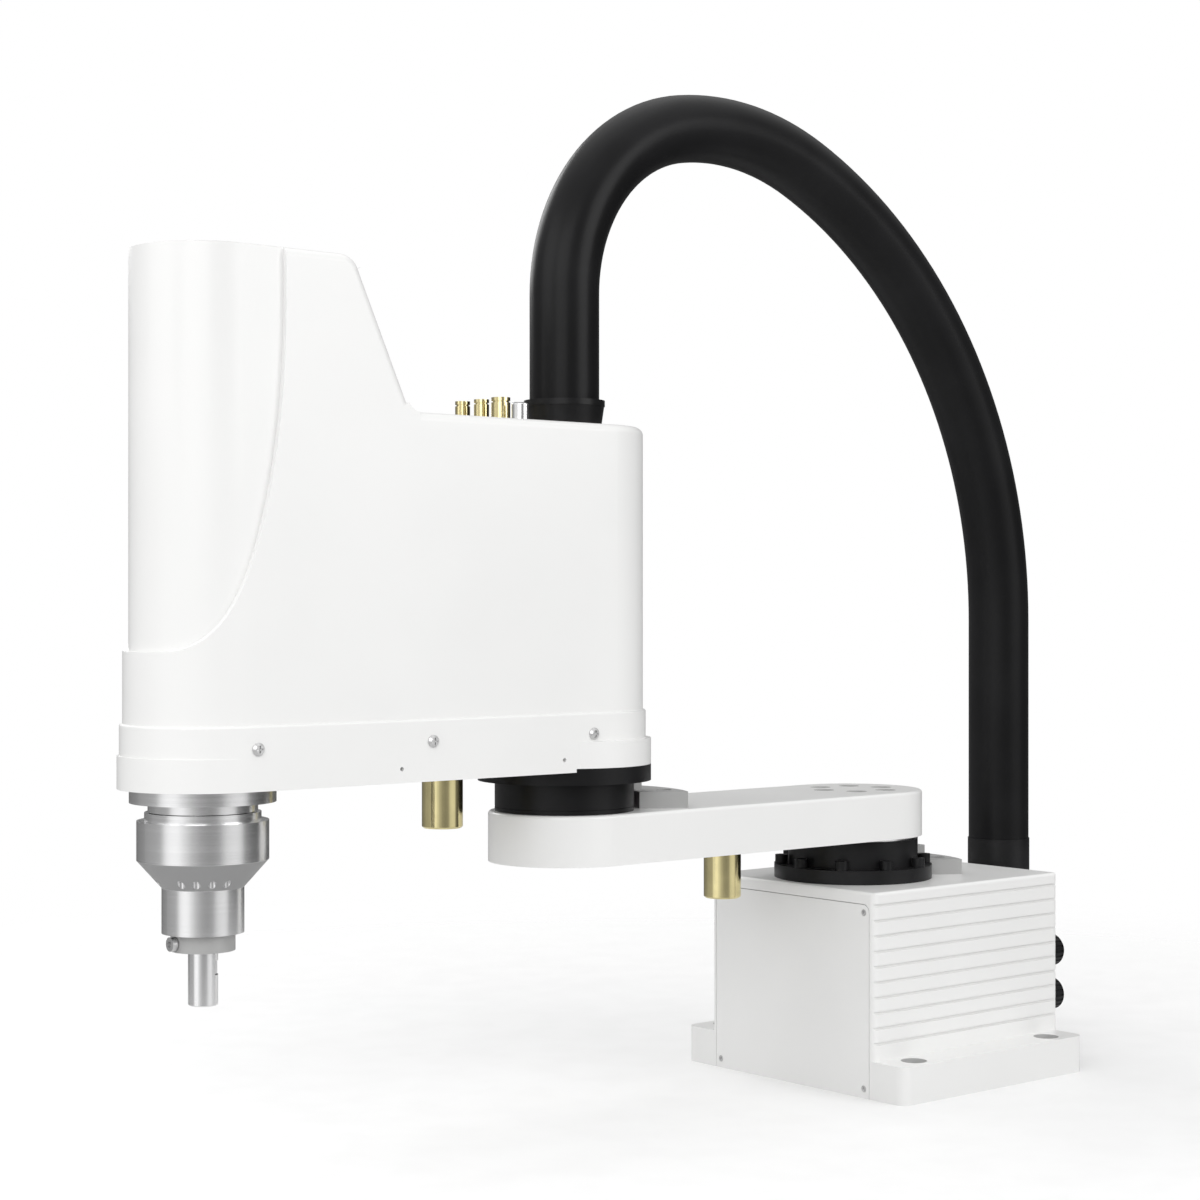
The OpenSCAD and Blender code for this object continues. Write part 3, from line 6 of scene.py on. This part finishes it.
import bpy
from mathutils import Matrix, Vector


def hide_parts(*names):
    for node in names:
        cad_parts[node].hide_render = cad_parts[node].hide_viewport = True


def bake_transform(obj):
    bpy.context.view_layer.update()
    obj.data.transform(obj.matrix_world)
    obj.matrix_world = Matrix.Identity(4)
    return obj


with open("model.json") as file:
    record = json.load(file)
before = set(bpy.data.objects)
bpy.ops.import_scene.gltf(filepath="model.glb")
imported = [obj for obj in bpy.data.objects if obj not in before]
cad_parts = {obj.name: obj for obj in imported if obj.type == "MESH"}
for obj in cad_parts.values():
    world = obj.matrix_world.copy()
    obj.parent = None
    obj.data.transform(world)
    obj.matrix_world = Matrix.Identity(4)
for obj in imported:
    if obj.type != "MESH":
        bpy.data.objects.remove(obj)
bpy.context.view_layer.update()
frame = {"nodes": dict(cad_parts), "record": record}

bl_info = {
    "name": "SCARA robot finishes",
    "version": (1, 0, 0),
    "blender": (4, 2, 0),
    "location": "View3D > Sidebar > Robot",
    "description": "Finishes, conduit and studio for a SCARA robot",
    "category": "Object",
}

FULL_TURN = 2.0 * math.pi


# Node helpers


class Sock:
    """An output socket that takes part in sums, each of which adds its Math node."""

    def __init__(self, graph, socket):
        self.graph = graph
        self.socket = socket

    def math(self, operation, *others, clamp=False):
        return self.graph.maths(operation, self, *others, clamp=clamp)

    def __add__(self, other):
        return self.math("ADD", other)

    def __radd__(self, other):
        return self.graph.maths("ADD", other, self)

    def __sub__(self, other):
        return self.math("SUBTRACT", other)

    def __rsub__(self, other):
        return self.graph.maths("SUBTRACT", other, self)

    def __mul__(self, other):
        return self.math("MULTIPLY", other)

    def __rmul__(self, other):
        return self.graph.maths("MULTIPLY", other, self)

    def __truediv__(self, other):
        return self.math("DIVIDE", other)

    def __rtruediv__(self, other):
        return self.graph.maths("DIVIDE", other, self)

    def __abs__(self):
        return self.math("ABSOLUTE")

    def fraction(self):
        return self.math("FRACT")

    def root(self):
        return self.math("SQRT")

    def ramp(self, low, high):
        """0 below low, 1 above high and smooth between them."""
        return self.graph.node(
            "ShaderNodeMapRange", {"Value": self, "From Min": low, "From Max": high},
            {"interpolation_type": "SMOOTHSTEP"})

    def spread(self, low, high):
        """A value of 0 to 1 taken to low to high."""
        return self.graph.node(
            "ShaderNodeMapRange", {"Value": self, "To Min": low, "To Max": high})


def set_stops(ramp, stops):
    """Gives a colour ramp its grey levels and the places at which they stand."""
    ramp.interpolation = "EASE"
    while len(ramp.elements) < len(stops):
        ramp.elements.new(0.5)
    for element, (position, level) in zip(ramp.elements, stops):
        element.position = position
        element.color = (*grey(level), 1.0)


class Graph:
    """The node tree of a material or world, with short calls for its nodes."""

    def __init__(self, tree):
        self.tree = tree
        tree.nodes.clear()

    def node(self, kind, sockets=None, settings=None, output=0):
        """Adds a node: first its settings, then the values or links of its sockets."""
        node = self.tree.nodes.new(kind)
        for key, value in (settings or {}).items():
            if key == "stops":
                set_stops(node.color_ramp, value)
            else:
                setattr(node, key, value)
        for key, value in (sockets or {}).items():
            self.feed(node.inputs[key], value)
        if output is None:
            return None
        if output == "all":
            return [Sock(self, socket) for socket in node.outputs]
        return Sock(self, node.outputs[output])

    def feed(self, target, value):
        """Links a socket, or writes a plain value, to an input."""
        if isinstance(value, Sock):
            self.tree.links.new(value.socket, target)
        elif target.type == "RGBA":
            target.default_value = (*value, 1.0)
        else:
            target.default_value = value

    def maths(self, operation, *values, clamp=False):
        return self.node("ShaderNodeMath", dict(enumerate(values)),
                         {"operation": operation, "use_clamp": clamp})

    def place(self):
        """Object coordinates, which for every piece are the row frame at rest."""
        return self.node("ShaderNodeTexCoord", output="Object")

    def split(self, vector):
        return self.node("ShaderNodeSeparateXYZ", {0: vector}, output="all")

    def scaled(self, vector, x, y, z):
        return self.node("ShaderNodeVectorMath", {0: vector, 1: (x, y, z)},
                         {"operation": "MULTIPLY"})

    def noise(self, vector, scale, detail=3.0, rough=0.5):
        return self.node("ShaderNodeTexNoise", {
            "Vector": vector, "Scale": scale, "Detail": detail, "Roughness": rough})

    def cells(self, vector, scale):
        return self.node("ShaderNodeTexVoronoi", {"Vector": vector, "Scale": scale})

    def blend(self, factor, first, second):
        """Mixes two colours, which are a Mix node's sockets 6 and 7."""
        return self.node("ShaderNodeMix", {0: factor, 6: first, 7: second},
                         {"data_type": "RGBA"}, output=2)

    def ray(self, kind):
        """1 for rays of that kind."""
        return self.node("ShaderNodeLightPath", output="Is %s Ray" % kind)

    def bump(self, height, distance, strength):
        return self.node("ShaderNodeBump", {
            "Height": height, "Distance": distance, "Strength": strength})

    def surface(self, sockets):
        shader = self.node("ShaderNodeBsdfPrincipled", sockets)
        self.node("ShaderNodeOutputMaterial", {"Surface": shader}, output=None)


def new_material(name):
    material = bpy.data.materials.new(name)
    material.use_nodes = True
    return material, Graph(material.node_tree)


def grey(level):
    return (level, level, level)


def times(colour, factor):
    return tuple(c * factor for c in colour)


# Finishes: each builds one material from its name, its tone and the settings

EDGE = 0.0001   # how far past a counterbore's edge its painted shade reaches
FADE = 0.0002   # over which one tone goes over into the next
SIXTH = FULL_TURN / 6


def counterbore_shade(g, place, s):
    """1 in the counterbores of the feet and of the first arm, which are painted darker as the shade
    in these holes.
    """
    x, y, z = g.split(place)
    middle, along, across, foot_bore = s.foot_holes
    dx = abs(x - middle) - along
    dy = abs(y) - across
    off_feet = (dx * dx + dy * dy).root().ramp(foot_bore + EDGE, foot_bore + EDGE + FADE)
    ring, turn, arm_bore, low = s.arm_holes
    # The six holes are folded onto one, at an angle from the nearest of them
    sixths = (y.math("ARCTAN2", x) - turn) * (1 / SIXTH) + 0.5
    angle = (sixths.fraction() - 0.5) * SIXTH
    out = (x * x + y * y).root()
    gap = (out * out + ring * ring - out * angle.math("COSINE") * (2.0 * ring)).root()
    off_arm = gap.ramp(arm_bore + EDGE, arm_bore + EDGE + FADE)
    off_arm = 1.0 - (1.0 - off_arm) * z.ramp(low - 0.0005, low)
    return 1.0 - off_feet * off_arm


def enamel(name, tone, s):
    """Sprayed white enamel: even gloss, fine orange peel, a trace of handling on it, and painted
    shade in its counterbores.
    """
    material, g = new_material(name)
    p = g.place()
    # Where the counterbores are painted darker as shade
    hole_shade = counterbore_shade(g, p, s)
    broad = g.noise(p, 9.0, 2.0)
    peel = g.noise(p, 620.0, 2.0, 0.4)
    grain = g.noise(p, 2600.0, 1.0)
    colour = g.blend(broad.ramp(0.35, 0.7), times(tone, 0.975), tone)
    rough = broad.spread(s.paint_rough - 0.05, s.paint_rough + 0.05)
    g.surface({
        # Painted shade: the counterbores take a darker grey, 0.6 of the tone
        "Base Color": g.blend(hole_shade, colour, times(tone, 0.6)),
        "Roughness": rough + peel * 0.04, "Coat Weight": 0.25, "Coat Roughness": 0.18,
        "IOR": 1.47, "Normal": g.bump(peel * 0.8 + grain * 0.2, s.peel_depth, 0.35)})
    return material


def satin_black(name, tone, s):
    """Black oxide on turned and cast steel, with fine tool rings and worn tones."""
    material, g = new_material(name)
    p = g.place()
    rings = g.noise(g.scaled(p, 18.0, 18.0, 1500.0), 1.0, 2.0)
    cloud = g.noise(p, 24.0, 4.0)
    g.surface({
        "Base Color": g.blend(cloud.ramp(0.4, 0.72), tone, times(tone, 1.9)),
        "Roughness": cloud.spread(0.24, 0.34) + rings * 0.06, "Specular IOR Level": 0.2,
        "Normal": g.bump(rings, 0.00003, 0.4)})
    return material


def conduit_polymer(name, tone, s):
    """Smooth extruded conduit: broad soft tones, shallow dimples and a satin sheen."""
    material, g = new_material(name)
    p = g.place()
    cloud = g.noise(p, 14.0, 3.0)
    fine = g.noise(p, 900.0, 2.0)
    soft = g.noise(p, 46.0, 2.0)
    rough = cloud.spread(s.conduit_rough - 0.04, s.conduit_rough + 0.06)
    g.surface({
        "Base Color": g.blend(cloud.ramp(0.35, 0.75), tone, times(tone, 1.5)),
        "Roughness": rough + fine * 0.03, "Specular IOR Level": 0.13,
        "Normal": g.bump(soft * 0.7 + fine * 0.1, 0.0004, 0.4)})
    return material


def cone_mask(g, place, s):
    """1 outside the face of the spline housing's cone, at its heights, and 0 in its holes. There the
    cone is made rougher and painted darker, as a painted reflection of the shade below it.
    """
    x, y, z = g.split(place)
    low, high = s.cone_zone
    inner, outer = s.cone_radii
    dx = x - s.quill_x
    radius = (dx * dx + y * y).root()
    face = (z - low) * ((outer - inner) / (high - low)) + inner
    within = z.ramp(low - FADE, low + FADE) * (1.0 - z.ramp(high - FADE, high + FADE))
    return within * (radius - face).ramp(-0.0005, -0.0002)


def turned_steel(name, tone, s, rough=0.28):
    """Lathe-turned steel: fine rings round the vertical axis, a slight haze, and a rougher cone
    painted darker as a reflection of the shade below it.
    """
    material, g = new_material(name)
    p = g.place()
    rings = g.noise(g.scaled(p, 10.0, 10.0, 2600.0), 1.0, 3.0, 0.6)
    coarse = g.noise(g.scaled(p, 4.0, 4.0, 420.0), 1.0, 2.0)
    haze = g.noise(p, 60.0, 3.0)
    mark = rings * 0.65 + coarse * 0.35
    # Painted reflection: the downward cone takes a darker tone, 0.4 of the tone, for the shade it
    # mirrors; it is also rougher
    rough_and_shaded = cone_mask(g, p, s)
    colour = g.blend(mark.ramp(0.3, 0.75), times(tone, 0.92), tone)
    roughness = mark.spread(rough - 0.05, rough + 0.07) + haze * 0.04
    g.surface({
        "Base Color": g.blend(rough_and_shaded * 0.9, colour, times(tone, 0.4)), "Metallic": 1.0,
        "Roughness": roughness + rough_and_shaded * 0.3, "Normal": g.bump(mark, 0.00002, 0.5)})
    return material


def screw_shaft(name, tone, s):
    """Ground shaft: mirror finish, with the ball screw's helical groove on the working length, the
    groove painted darker as shade.
    """
    material, g = new_material(name)
    p = g.place()
    x, y, z = g.split(p)
    angle = y.math("ARCTAN2", x - s.quill_x) / FULL_TURN
    phase = (z / s.screw_lead - angle).fraction()
    land = abs(phase - 0.5).ramp(0.07, 0.13)
    working = z.ramp(s.groove_from, s.groove_from + 0.002)
    height = 1.0 - (1.0 - land) * working
    fine = g.noise(g.scaled(p, 20.0, 20.0, 3800.0), 1.0, 2.0)
    g.surface({
        # Painted shade: the groove takes a darker tone, 0.55 of the tone
        "Base Color": g.blend(height.ramp(0.2, 0.9), times(tone, 0.55), tone),
        "Metallic": 1.0, "Roughness": fine.spread(0.12, 0.22),
        "Normal": g.bump(height + fine * 0.02, 0.0009, 0.8)})
    return material


def turned_brass(name, tone, s, rough=0.11):
    """Turned brass: clear reflections, fine rings, a warm slightly uneven tone."""
    material, g = new_material(name)
    p = g.place()
    rings = g.noise(g.scaled(p, 14.0, 14.0, 2200.0), 1.0, 2.0)
    cloud = g.noise(p, 55.0, 3.0)
    g.surface({
        "Base Color": g.blend(cloud.ramp(0.35, 0.7), times(tone, 0.9), tone), "Metallic": 1.0,
        "Roughness": rings.spread(rough - 0.03, rough + 0.05) + cloud * 0.03,
        "Normal": g.bump(rings, 0.000008, 0.4)})
    return material


def blasted_aluminium(name, tone, s):
    """Bead-blasted and anodised aluminium: matte, finely pitted."""
    material, g = new_material(name)
    p = g.place()
    pits = g.cells(p, 1900.0)
    cloud = g.noise(p, 35.0, 3.0)
    g.surface({
        "Base Color": g.blend(cloud.ramp(0.3, 0.75), times(tone, 0.94), tone), "Metallic": 0.3,
        "Roughness": cloud.spread(0.42, 0.56), "Normal": g.bump(pits, 0.00004, 0.35)})
    return material


def woven_rubber(name, tone, s):
    """Belt rubber: matte black with a woven back."""
    material, g = new_material(name)
    p = g.place()
    weave = g.noise(g.scaled(p, 900.0, 900.0, 2600.0), 1.0, 2.0)
    cloud = g.noise(p, 40.0, 3.0)
    g.surface({
        "Base Color": g.blend(cloud.ramp(0.35, 0.7), tone, times(tone, 1.8)),
        "Roughness": weave.spread(0.6, 0.82), "Normal": g.bump(weave, 0.0001, 0.5)})
    return material


def powder_coat(name, tone, s):
    """Powder-coated motor case: dull, with a leathery grain."""
    material, g = new_material(name)
    p = g.place()
    grain = g.cells(p, 820.0)
    cloud = g.noise(p, 20.0, 3.0)
    g.surface({
        "Base Color": g.blend(cloud.ramp(0.35, 0.7), tone, times(tone, 1.6)),
        "Roughness": cloud.spread(0.5, 0.66), "Normal": g.bump(grain, 0.00012, 0.45)})
    return material


# For each material slot: its label, its tone, what builds it and with which options
FINISHES = {
    "painted_white": ("White enamel", (0.87, 0.87, 0.862), enamel, {}),
    "black_satin": ("Black oxide", (0.008, 0.008, 0.0085), satin_black, {}),
    "conduit_black": ("Conduit", (0.008, 0.008, 0.0085), conduit_polymer, {}),
    "brushed_steel": ("Turned steel", (0.93, 0.93, 0.935), turned_steel, {"rough": 0.2}),
    "ground_steel": ("Ground shaft", (0.93, 0.93, 0.935), screw_shaft, {}),
    "zinc_screws": ("Zinc screws", (0.7, 0.7, 0.7), turned_steel, {"rough": 0.3}),
    "dark_screws": ("Dark screws", (0.08, 0.08, 0.085), turned_steel, {"rough": 0.34}),
    "polished_brass": ("Stop pins", (0.93, 0.82, 0.44), turned_brass, {}),
    "fitting_brass": ("Air fittings", (0.84, 0.73, 0.4), turned_brass, {"rough": 0.16}),
    "anodised_grey": ("Anodised blocks", (0.44, 0.44, 0.436), blasted_aluminium, {}),
    "pulley_aluminium": ("Pulleys", (0.66, 0.66, 0.67), turned_steel, {"rough": 0.34}),
    "belt_rubber": ("Belts", (0.014, 0.014, 0.014), woven_rubber, {}),
    "motor_black": ("Motors", (0.018, 0.018, 0.019), powder_coat, {}),
}


# Settings


class RobotSettings(bpy.types.PropertyGroup):
    """Sizes and tones of the visual model"""

    paint_rough: bpy.props.FloatProperty(
        name="Paint roughness", description="Middle roughness of the white enamel",
        default=0.34, min=0.1, max=0.8)
    peel_depth: bpy.props.FloatProperty(
        name="Orange peel", description="Depth of the enamel's orange peel",
        default=0.00006, subtype="DISTANCE", unit="LENGTH", precision=6)
    conduit_rough: bpy.props.FloatProperty(
        name="Conduit roughness", description="Middle roughness of the conduit",
        default=0.28, min=0.1, max=0.8)
    quill_x: bpy.props.FloatProperty(
        name="Quill axis", description="Distance from the first joint to the quill",
        default=0.5, unit="LENGTH")
    screw_lead: bpy.props.FloatProperty(
        name="Screw lead", description="Rise of the helical groove in one turn",
        default=0.016, unit="LENGTH")
    groove_from: bpy.props.FloatProperty(
        name="Groove start", description="Height at which the helical groove starts",
        default=0.142, unit="LENGTH")
    cone_zone: bpy.props.FloatVectorProperty(
        name="Cone zone", description="Heights between which the spline housing is dull",
        size=2, default=(0.1622, 0.177))
    cone_radii: bpy.props.FloatVectorProperty(
        name="Cone radii", description="Radii of the spline housing's cone at those heights",
        size=2, default=(0.0219, 0.0351))
    foot_holes: bpy.props.FloatVectorProperty(
        name="Foot holes", size=4, default=(-0.02975, 0.065, 0.087, 0.0082),
        description="Middle, half spacings and radius of the counterbores in the feet")
    arm_holes: bpy.props.FloatVectorProperty(
        name="Arm holes", size=4, default=(0.0237, math.radians(50), 0.0067, 0.175),
        description="Ring radius, turn, radius and lower end of the first arm's counterbores")
    elbow_x: bpy.props.FloatProperty(
        name="Second joint", description="Distance from the first joint to the second",
        default=0.25, unit="LENGTH")
    drop_x: bpy.props.FloatProperty(
        name="Conduit drop", description="Place of the conduit's lower end behind the first joint",
        default=-0.149, unit="LENGTH")
    conduit_radius: bpy.props.FloatProperty(
        name="Conduit radius", description="Outer radius of the conduit",
        default=0.021, unit="LENGTH")
    conduit_bore: bpy.props.FloatProperty(
        name="Conduit bore", description="Inner radius of the conduit",
        default=0.0185, unit="LENGTH")
    seat_z: bpy.props.FloatProperty(
        name="Upper seat", description="Height of the conduit's upper end",
        default=0.4354, unit="LENGTH")
    rise: bpy.props.FloatProperty(
        name="Rise", description="Straight length over the upper flange",
        default=0.064, unit="LENGTH")
    bends: bpy.props.FloatVectorProperty(
        name="Bends", description="Radius of the first two bends and their angles in radians",
        size=4, default=(0.1135, 0.1915, math.radians(80), math.radians(33)))
    foot_z: bpy.props.FloatProperty(
        name="Lower seat", description="Height of the conduit's lower end",
        default=0.147, unit="LENGTH")
    floor_radius: bpy.props.FloatProperty(
        name="Floor radius", description="Radius of the studio floor",
        default=2.4, unit="LENGTH")
    surround: bpy.props.FloatProperty(
        name="Surround", description="Level of the soft light from all round",
        default=0.9, min=0.0, max=1.0)
    backdrop: bpy.props.FloatVectorProperty(
        name="Backdrop", description="Colour behind the object", subtype="COLOR",
        size=3, default=(1.0, 1.0, 1.0))


for slot, (label, tone, _, _) in FINISHES.items():
    RobotSettings.__annotations__[slot] = bpy.props.FloatVectorProperty(
        name=label, description="Tone of this finish", subtype="COLOR",
        size=3, min=0.0, max=1.0, default=tone)


# Studio

CAMERA_PLACE = (1.16216, 1.11148, 0.31553)
CAMERA_TURN = (math.radians(90), 0.0, math.radians(139.77))
CAMERA_LENS = 71.58
FLOOR_MIDDLE = 0.15
FLOOR_FADE = (0.35, 1.1)

# Level of the surround that metal mirrors, by azimuth in degrees
BANDS = [
    (-180, 0.08), (-150, 0.1), (-110, 0.15), (-75, 0.23), (-47, 0.34), (-20, 0.38), (-6, 0.9),
    (2, 1.0), (16, 1.0), (28, 0.72), (42, 0.44), (57, 0.29), (71, 0.25), (84, 0.28),
    (102, 0.66), (112, 0.72), (126, 0.7), (138, 0.16), (160, 0.06), (180, 0.06),
]

# Name, place, target, size in metres and power in watts of each lamp
LAMPS = [
    ("key", (1.95, -0.3, 1.15), (0.2, 0.0, 0.25), (1.3, 1.3), 8.0),
    ("front", (1.55, 1.15, 1.05), (0.15, 0.0, 0.2), (1.2, 1.2), 9.5),
    ("fill", (-0.75, 2.1, 1.1), (0.1, 0.0, 0.25), (1.5, 1.2), 14.5),
    ("top", (0.1, -0.2, 2.4), (0.15, 0.0, 0.3), (1.6, 1.6), 4.0),
    ("back", (0.1, -2.1, 1.3), (0.15, 0.0, 0.3), (1.3, 1.0), 11.0),
]


# Mesh helpers

OUTER_SIDES = 64
BORE_SIDES = 48
RISE_STEPS = 6
BEND_STEPS = (28, 16, 40)
DROP_STEPS = 10
SAME_PLACE = 0.00001    # below this two vertices are at the same place


def select_only(*objects):
    bpy.ops.object.select_all(action="DESELECT")
    for obj in objects:
        obj.select_set(True)
    bpy.context.view_layer.objects.active = objects[0]


def edit(obj):
    select_only(obj)
    bpy.ops.object.mode_set(mode="EDIT")
    bpy.ops.mesh.select_mode(type="VERT")


def settle(obj):
    """Puts the object's place into its vertices, so that its own frame is the row frame."""
    select_only(obj)
    bpy.ops.object.transform_apply(location=True, rotation=True, scale=True)
    return obj


def extrude_up(height, steps):
    """Extrudes what is selected by a height, down if it is negative, in equal steps."""
    for _ in range(steps):
        bpy.ops.mesh.extrude_region_move(
            TRANSFORM_OT_translate={"value": (0, 0, height / steps)})


def dress(obj, slot_name):
    """Gives a new piece the material of a slot."""
    obj.data.materials.clear()
    obj.data.materials.append(bpy.data.materials[slot_name])


# Operators


class ROBOT_OT_finishes(bpy.types.Operator):
    """Gives every CAD node the procedural finish of its material slot"""

    bl_idname = "robot.finishes"
    bl_label = "Apply finishes"

    def execute(self, context):
        settings = context.scene.robot_settings
        made = {}
        for name, (_, _, builder, options) in FINISHES.items():
            # The flat material that came with the CAD gives up its name
            plain = bpy.data.materials.get(name)
            if plain:
                plain.name = name + "_plain"
            made[name] = builder(name, tuple(getattr(settings, name)), settings, **options)
        for row in frame["record"]["subparts"]:
            obj = frame["nodes"][row["node"]]
            obj.data.materials.clear()
            obj.data.materials.append(made[row["material_slot"]])
        return {"FINISHED"}


class ROBOT_OT_conduit(bpy.types.Operator):
    """Draws the conduit as one smooth tube over three bends"""

    bl_idname = "robot.conduit"
    bl_label = "Conduit"

    def execute(self, context):
        s = context.scene.robot_settings
        skins = [self.add_skin(context, s, s.conduit_radius, OUTER_SIDES),
                 self.add_skin(context, s, s.conduit_bore, BORE_SIDES)]
        select_only(*skins)
        bpy.ops.object.join()
        tube = context.active_object
        tube.name = "conduit_tube"
        edit(tube)
        self.close_end(tube, s, s.elbow_x, s.seat_z)
        self.close_end(tube, s, s.drop_x, s.foot_z)
        bpy.ops.mesh.select_all(action="SELECT")
        bpy.ops.mesh.normals_make_consistent(inside=False)
        bpy.ops.object.mode_set(mode="OBJECT")
        bpy.ops.object.shade_smooth_by_angle(angle=math.radians(40))
        settle(tube)
        dress(tube, "conduit_black")
        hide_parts("conduit")
        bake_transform(tube)
        return {"FINISHED"}

    def bends_of(self, s):
        """Radius and angle of the three bends, of which the last one closes the route."""
        r1, r2, a1, a2 = s.bends
        a3 = math.pi - a1 - a2
        reach = s.elbow_x - s.drop_x
        r3 = (reach - r1 * (1 - math.cos(a1)) - r2 * (math.cos(a1) - math.cos(a1 + a2))) / (
            math.cos(a1 + a2) + 1)
        return (r1, a1), (r2, a2), (r3, a3)

    def add_skin(self, context, s, radius, sides):
        """Leads a circle from the upper seat over the three bends to the lower seat."""
        bpy.ops.mesh.primitive_circle_add(
            vertices=sides, radius=radius, fill_type="NOTHING",
            location=(s.elbow_x, 0.0, s.seat_z))
        skin = settle(context.active_object)
        edit(skin)
        bpy.ops.mesh.select_all(action="SELECT")
        extrude_up(s.rise, RISE_STEPS)
        spot = Vector((s.elbow_x, 0.0, s.seat_z + s.rise))
        turned = 0.0
        for (bend, angle), steps in zip(self.bends_of(s), BEND_STEPS):
            centre = spot - Vector((math.cos(turned), 0.0, math.sin(turned))) * bend
            bpy.ops.mesh.spin(steps=steps, angle=angle, center=centre, axis=(0, 1, 0))
            turned += angle
            spot = centre + Vector((math.cos(turned), 0.0, math.sin(turned))) * bend
        extrude_up(s.foot_z - spot.z, DROP_STEPS)
        bpy.ops.mesh.select_all(action="SELECT")
        bpy.ops.mesh.remove_doubles(threshold=SAME_PLACE)
        bpy.ops.object.mode_set(mode="OBJECT")
        return skin

    def close_end(self, tube, s, x, z):
        """Bridges the two skins at one end of the tube."""
        bpy.ops.mesh.select_all(action="DESELECT")
        bpy.ops.object.mode_set(mode="OBJECT")
        for v in tube.data.vertices:
            v.select = abs(v.co.z - z) < SAME_PLACE and abs(v.co.x - x) < 1.5 * s.conduit_radius
        bpy.ops.object.mode_set(mode="EDIT")
        bpy.ops.mesh.select_mode(type="VERT")
        bpy.ops.mesh.bridge_edge_loops()


class ROBOT_OT_studio(bpy.types.Operator):
    """Camera matched to the photo, soft lamps, a pale floor and a white surround"""

    bl_idname = "robot.studio"
    bl_label = "Studio"

    def execute(self, context):
        s = context.scene.robot_settings
        scene = context.scene
        self.add_camera(scene)
        self.add_floor(context, s)
        self.add_world(scene, s)
        for lamp in LAMPS:
            self.add_lamp(scene, *lamp)
        scene.view_settings.view_transform = "Standard"
        scene.view_settings.look = "None"
        return {"FINISHED"}

    def add_camera(self, scene):
        data = bpy.data.cameras.new("camera")
        data.lens = CAMERA_LENS
        data.sensor_width = 36.0
        data.clip_start = 0.05
        data.clip_end = 60.0
        camera = bpy.data.objects.new("camera", data)
        camera.location = CAMERA_PLACE
        camera.rotation_euler = CAMERA_TURN
        scene.collection.objects.link(camera)
        scene.camera = camera

    def add_floor(self, context, s):
        bpy.ops.mesh.primitive_circle_add(
            vertices=96, radius=s.floor_radius, fill_type="NGON",
            location=(FLOOR_MIDDLE, 0.0, 0.0))
        floor = settle(context.active_object)
        floor.name = "floor"
        material, g = new_material("floor")
        p = g.place()
        x, y, _ = g.split(p)
        off = x - FLOOR_MIDDLE
        away = (off * off + y * y).root()
        grain = g.noise(p, 30.0, 3.0)
        # The camera sees a paler floor than the one that lights the robot
        seen = g.blend(grain.ramp(0.3, 0.7), grey(0.93), grey(0.95))
        g.surface({
            "Base Color": g.blend(g.ray("Camera"), grey(0.62), seen),
            "Roughness": grain.spread(0.6, 0.7), "Alpha": 1.0 - away.ramp(*FLOOR_FADE)})
        floor.data.materials.append(material)

    def add_world(self, scene, s):
        world = bpy.data.worlds.new("surround")
        world.use_nodes = True
        g = Graph(world.node_tree)
        x, y, z = g.split(g.node("ShaderNodeTexCoord", output="Generated"))
        # Soft boxes and dark flags round the object, as metal shows them
        turn = y.math("ARCTAN2", x) / FULL_TURN + 0.5
        stops = [(azimuth / 360.0 + 0.5, level) for azimuth, level in BANDS]
        bands = g.node("ShaderNodeValToRGB", {0: turn}, {"stops": stops})
        mirrored = g.blend(z.ramp(0.25, 0.8), bands, grey(0.9))
        shown = g.blend(g.ray("Camera"), mirrored, tuple(s.backdrop))
        soft = g.blend(z.ramp(-0.3, 0.8), grey(0.62), grey(0.84))
        lit = g.node("ShaderNodeBackground", {"Color": soft, "Strength": s.surround})
        plain = g.node("ShaderNodeBackground", {"Color": shown, "Strength": 1.0})
        direct = (g.ray("Camera") + g.ray("Glossy")).math("ADD", g.ray("Transmission"), clamp=True)
        mixed = g.node("ShaderNodeMixShader", {0: direct, 1: lit, 2: plain})
        g.node("ShaderNodeOutputWorld", {"Surface": mixed}, output=None)
        scene.world = world

    def add_lamp(self, scene, name, place, target, size, power):
        data = bpy.data.lights.new(name, "AREA")
        data.shape = "RECTANGLE"
        data.size, data.size_y = size
        data.energy = power
        lamp = bpy.data.objects.new(name, data)
        lamp.location = place
        way = Vector(target) - Vector(place)
        lamp.rotation_euler = way.to_track_quat("-Z", "Y").to_euler()
        scene.collection.objects.link(lamp)


STEPS = [ROBOT_OT_finishes, ROBOT_OT_conduit, ROBOT_OT_studio]


class ROBOT_PT_panel(bpy.types.Panel):
    """Sidebar panel with the settings and the steps"""

    bl_label = "SCARA robot"
    bl_idname = "ROBOT_PT_panel"
    bl_space_type = "VIEW_3D"
    bl_region_type = "UI"
    bl_category = "Robot"

    def draw(self, context):
        for key in RobotSettings.__annotations__:
            self.layout.prop(context.scene.robot_settings, key)
        for step in STEPS:
            self.layout.operator(step.bl_idname)


CLASSES = [RobotSettings, *STEPS, ROBOT_PT_panel]


def register():
    for cls in CLASSES:
        bpy.utils.register_class(cls)
    bpy.types.Scene.robot_settings = bpy.props.PointerProperty(type=RobotSettings)


def unregister():
    del bpy.types.Scene.robot_settings
    for cls in reversed(CLASSES):
        bpy.utils.unregister_class(cls)


def main():
    register()
    bpy.ops.robot.finishes()
    bpy.ops.robot.conduit()
    bpy.ops.robot.studio()


if __name__ == "__main__":
    main()
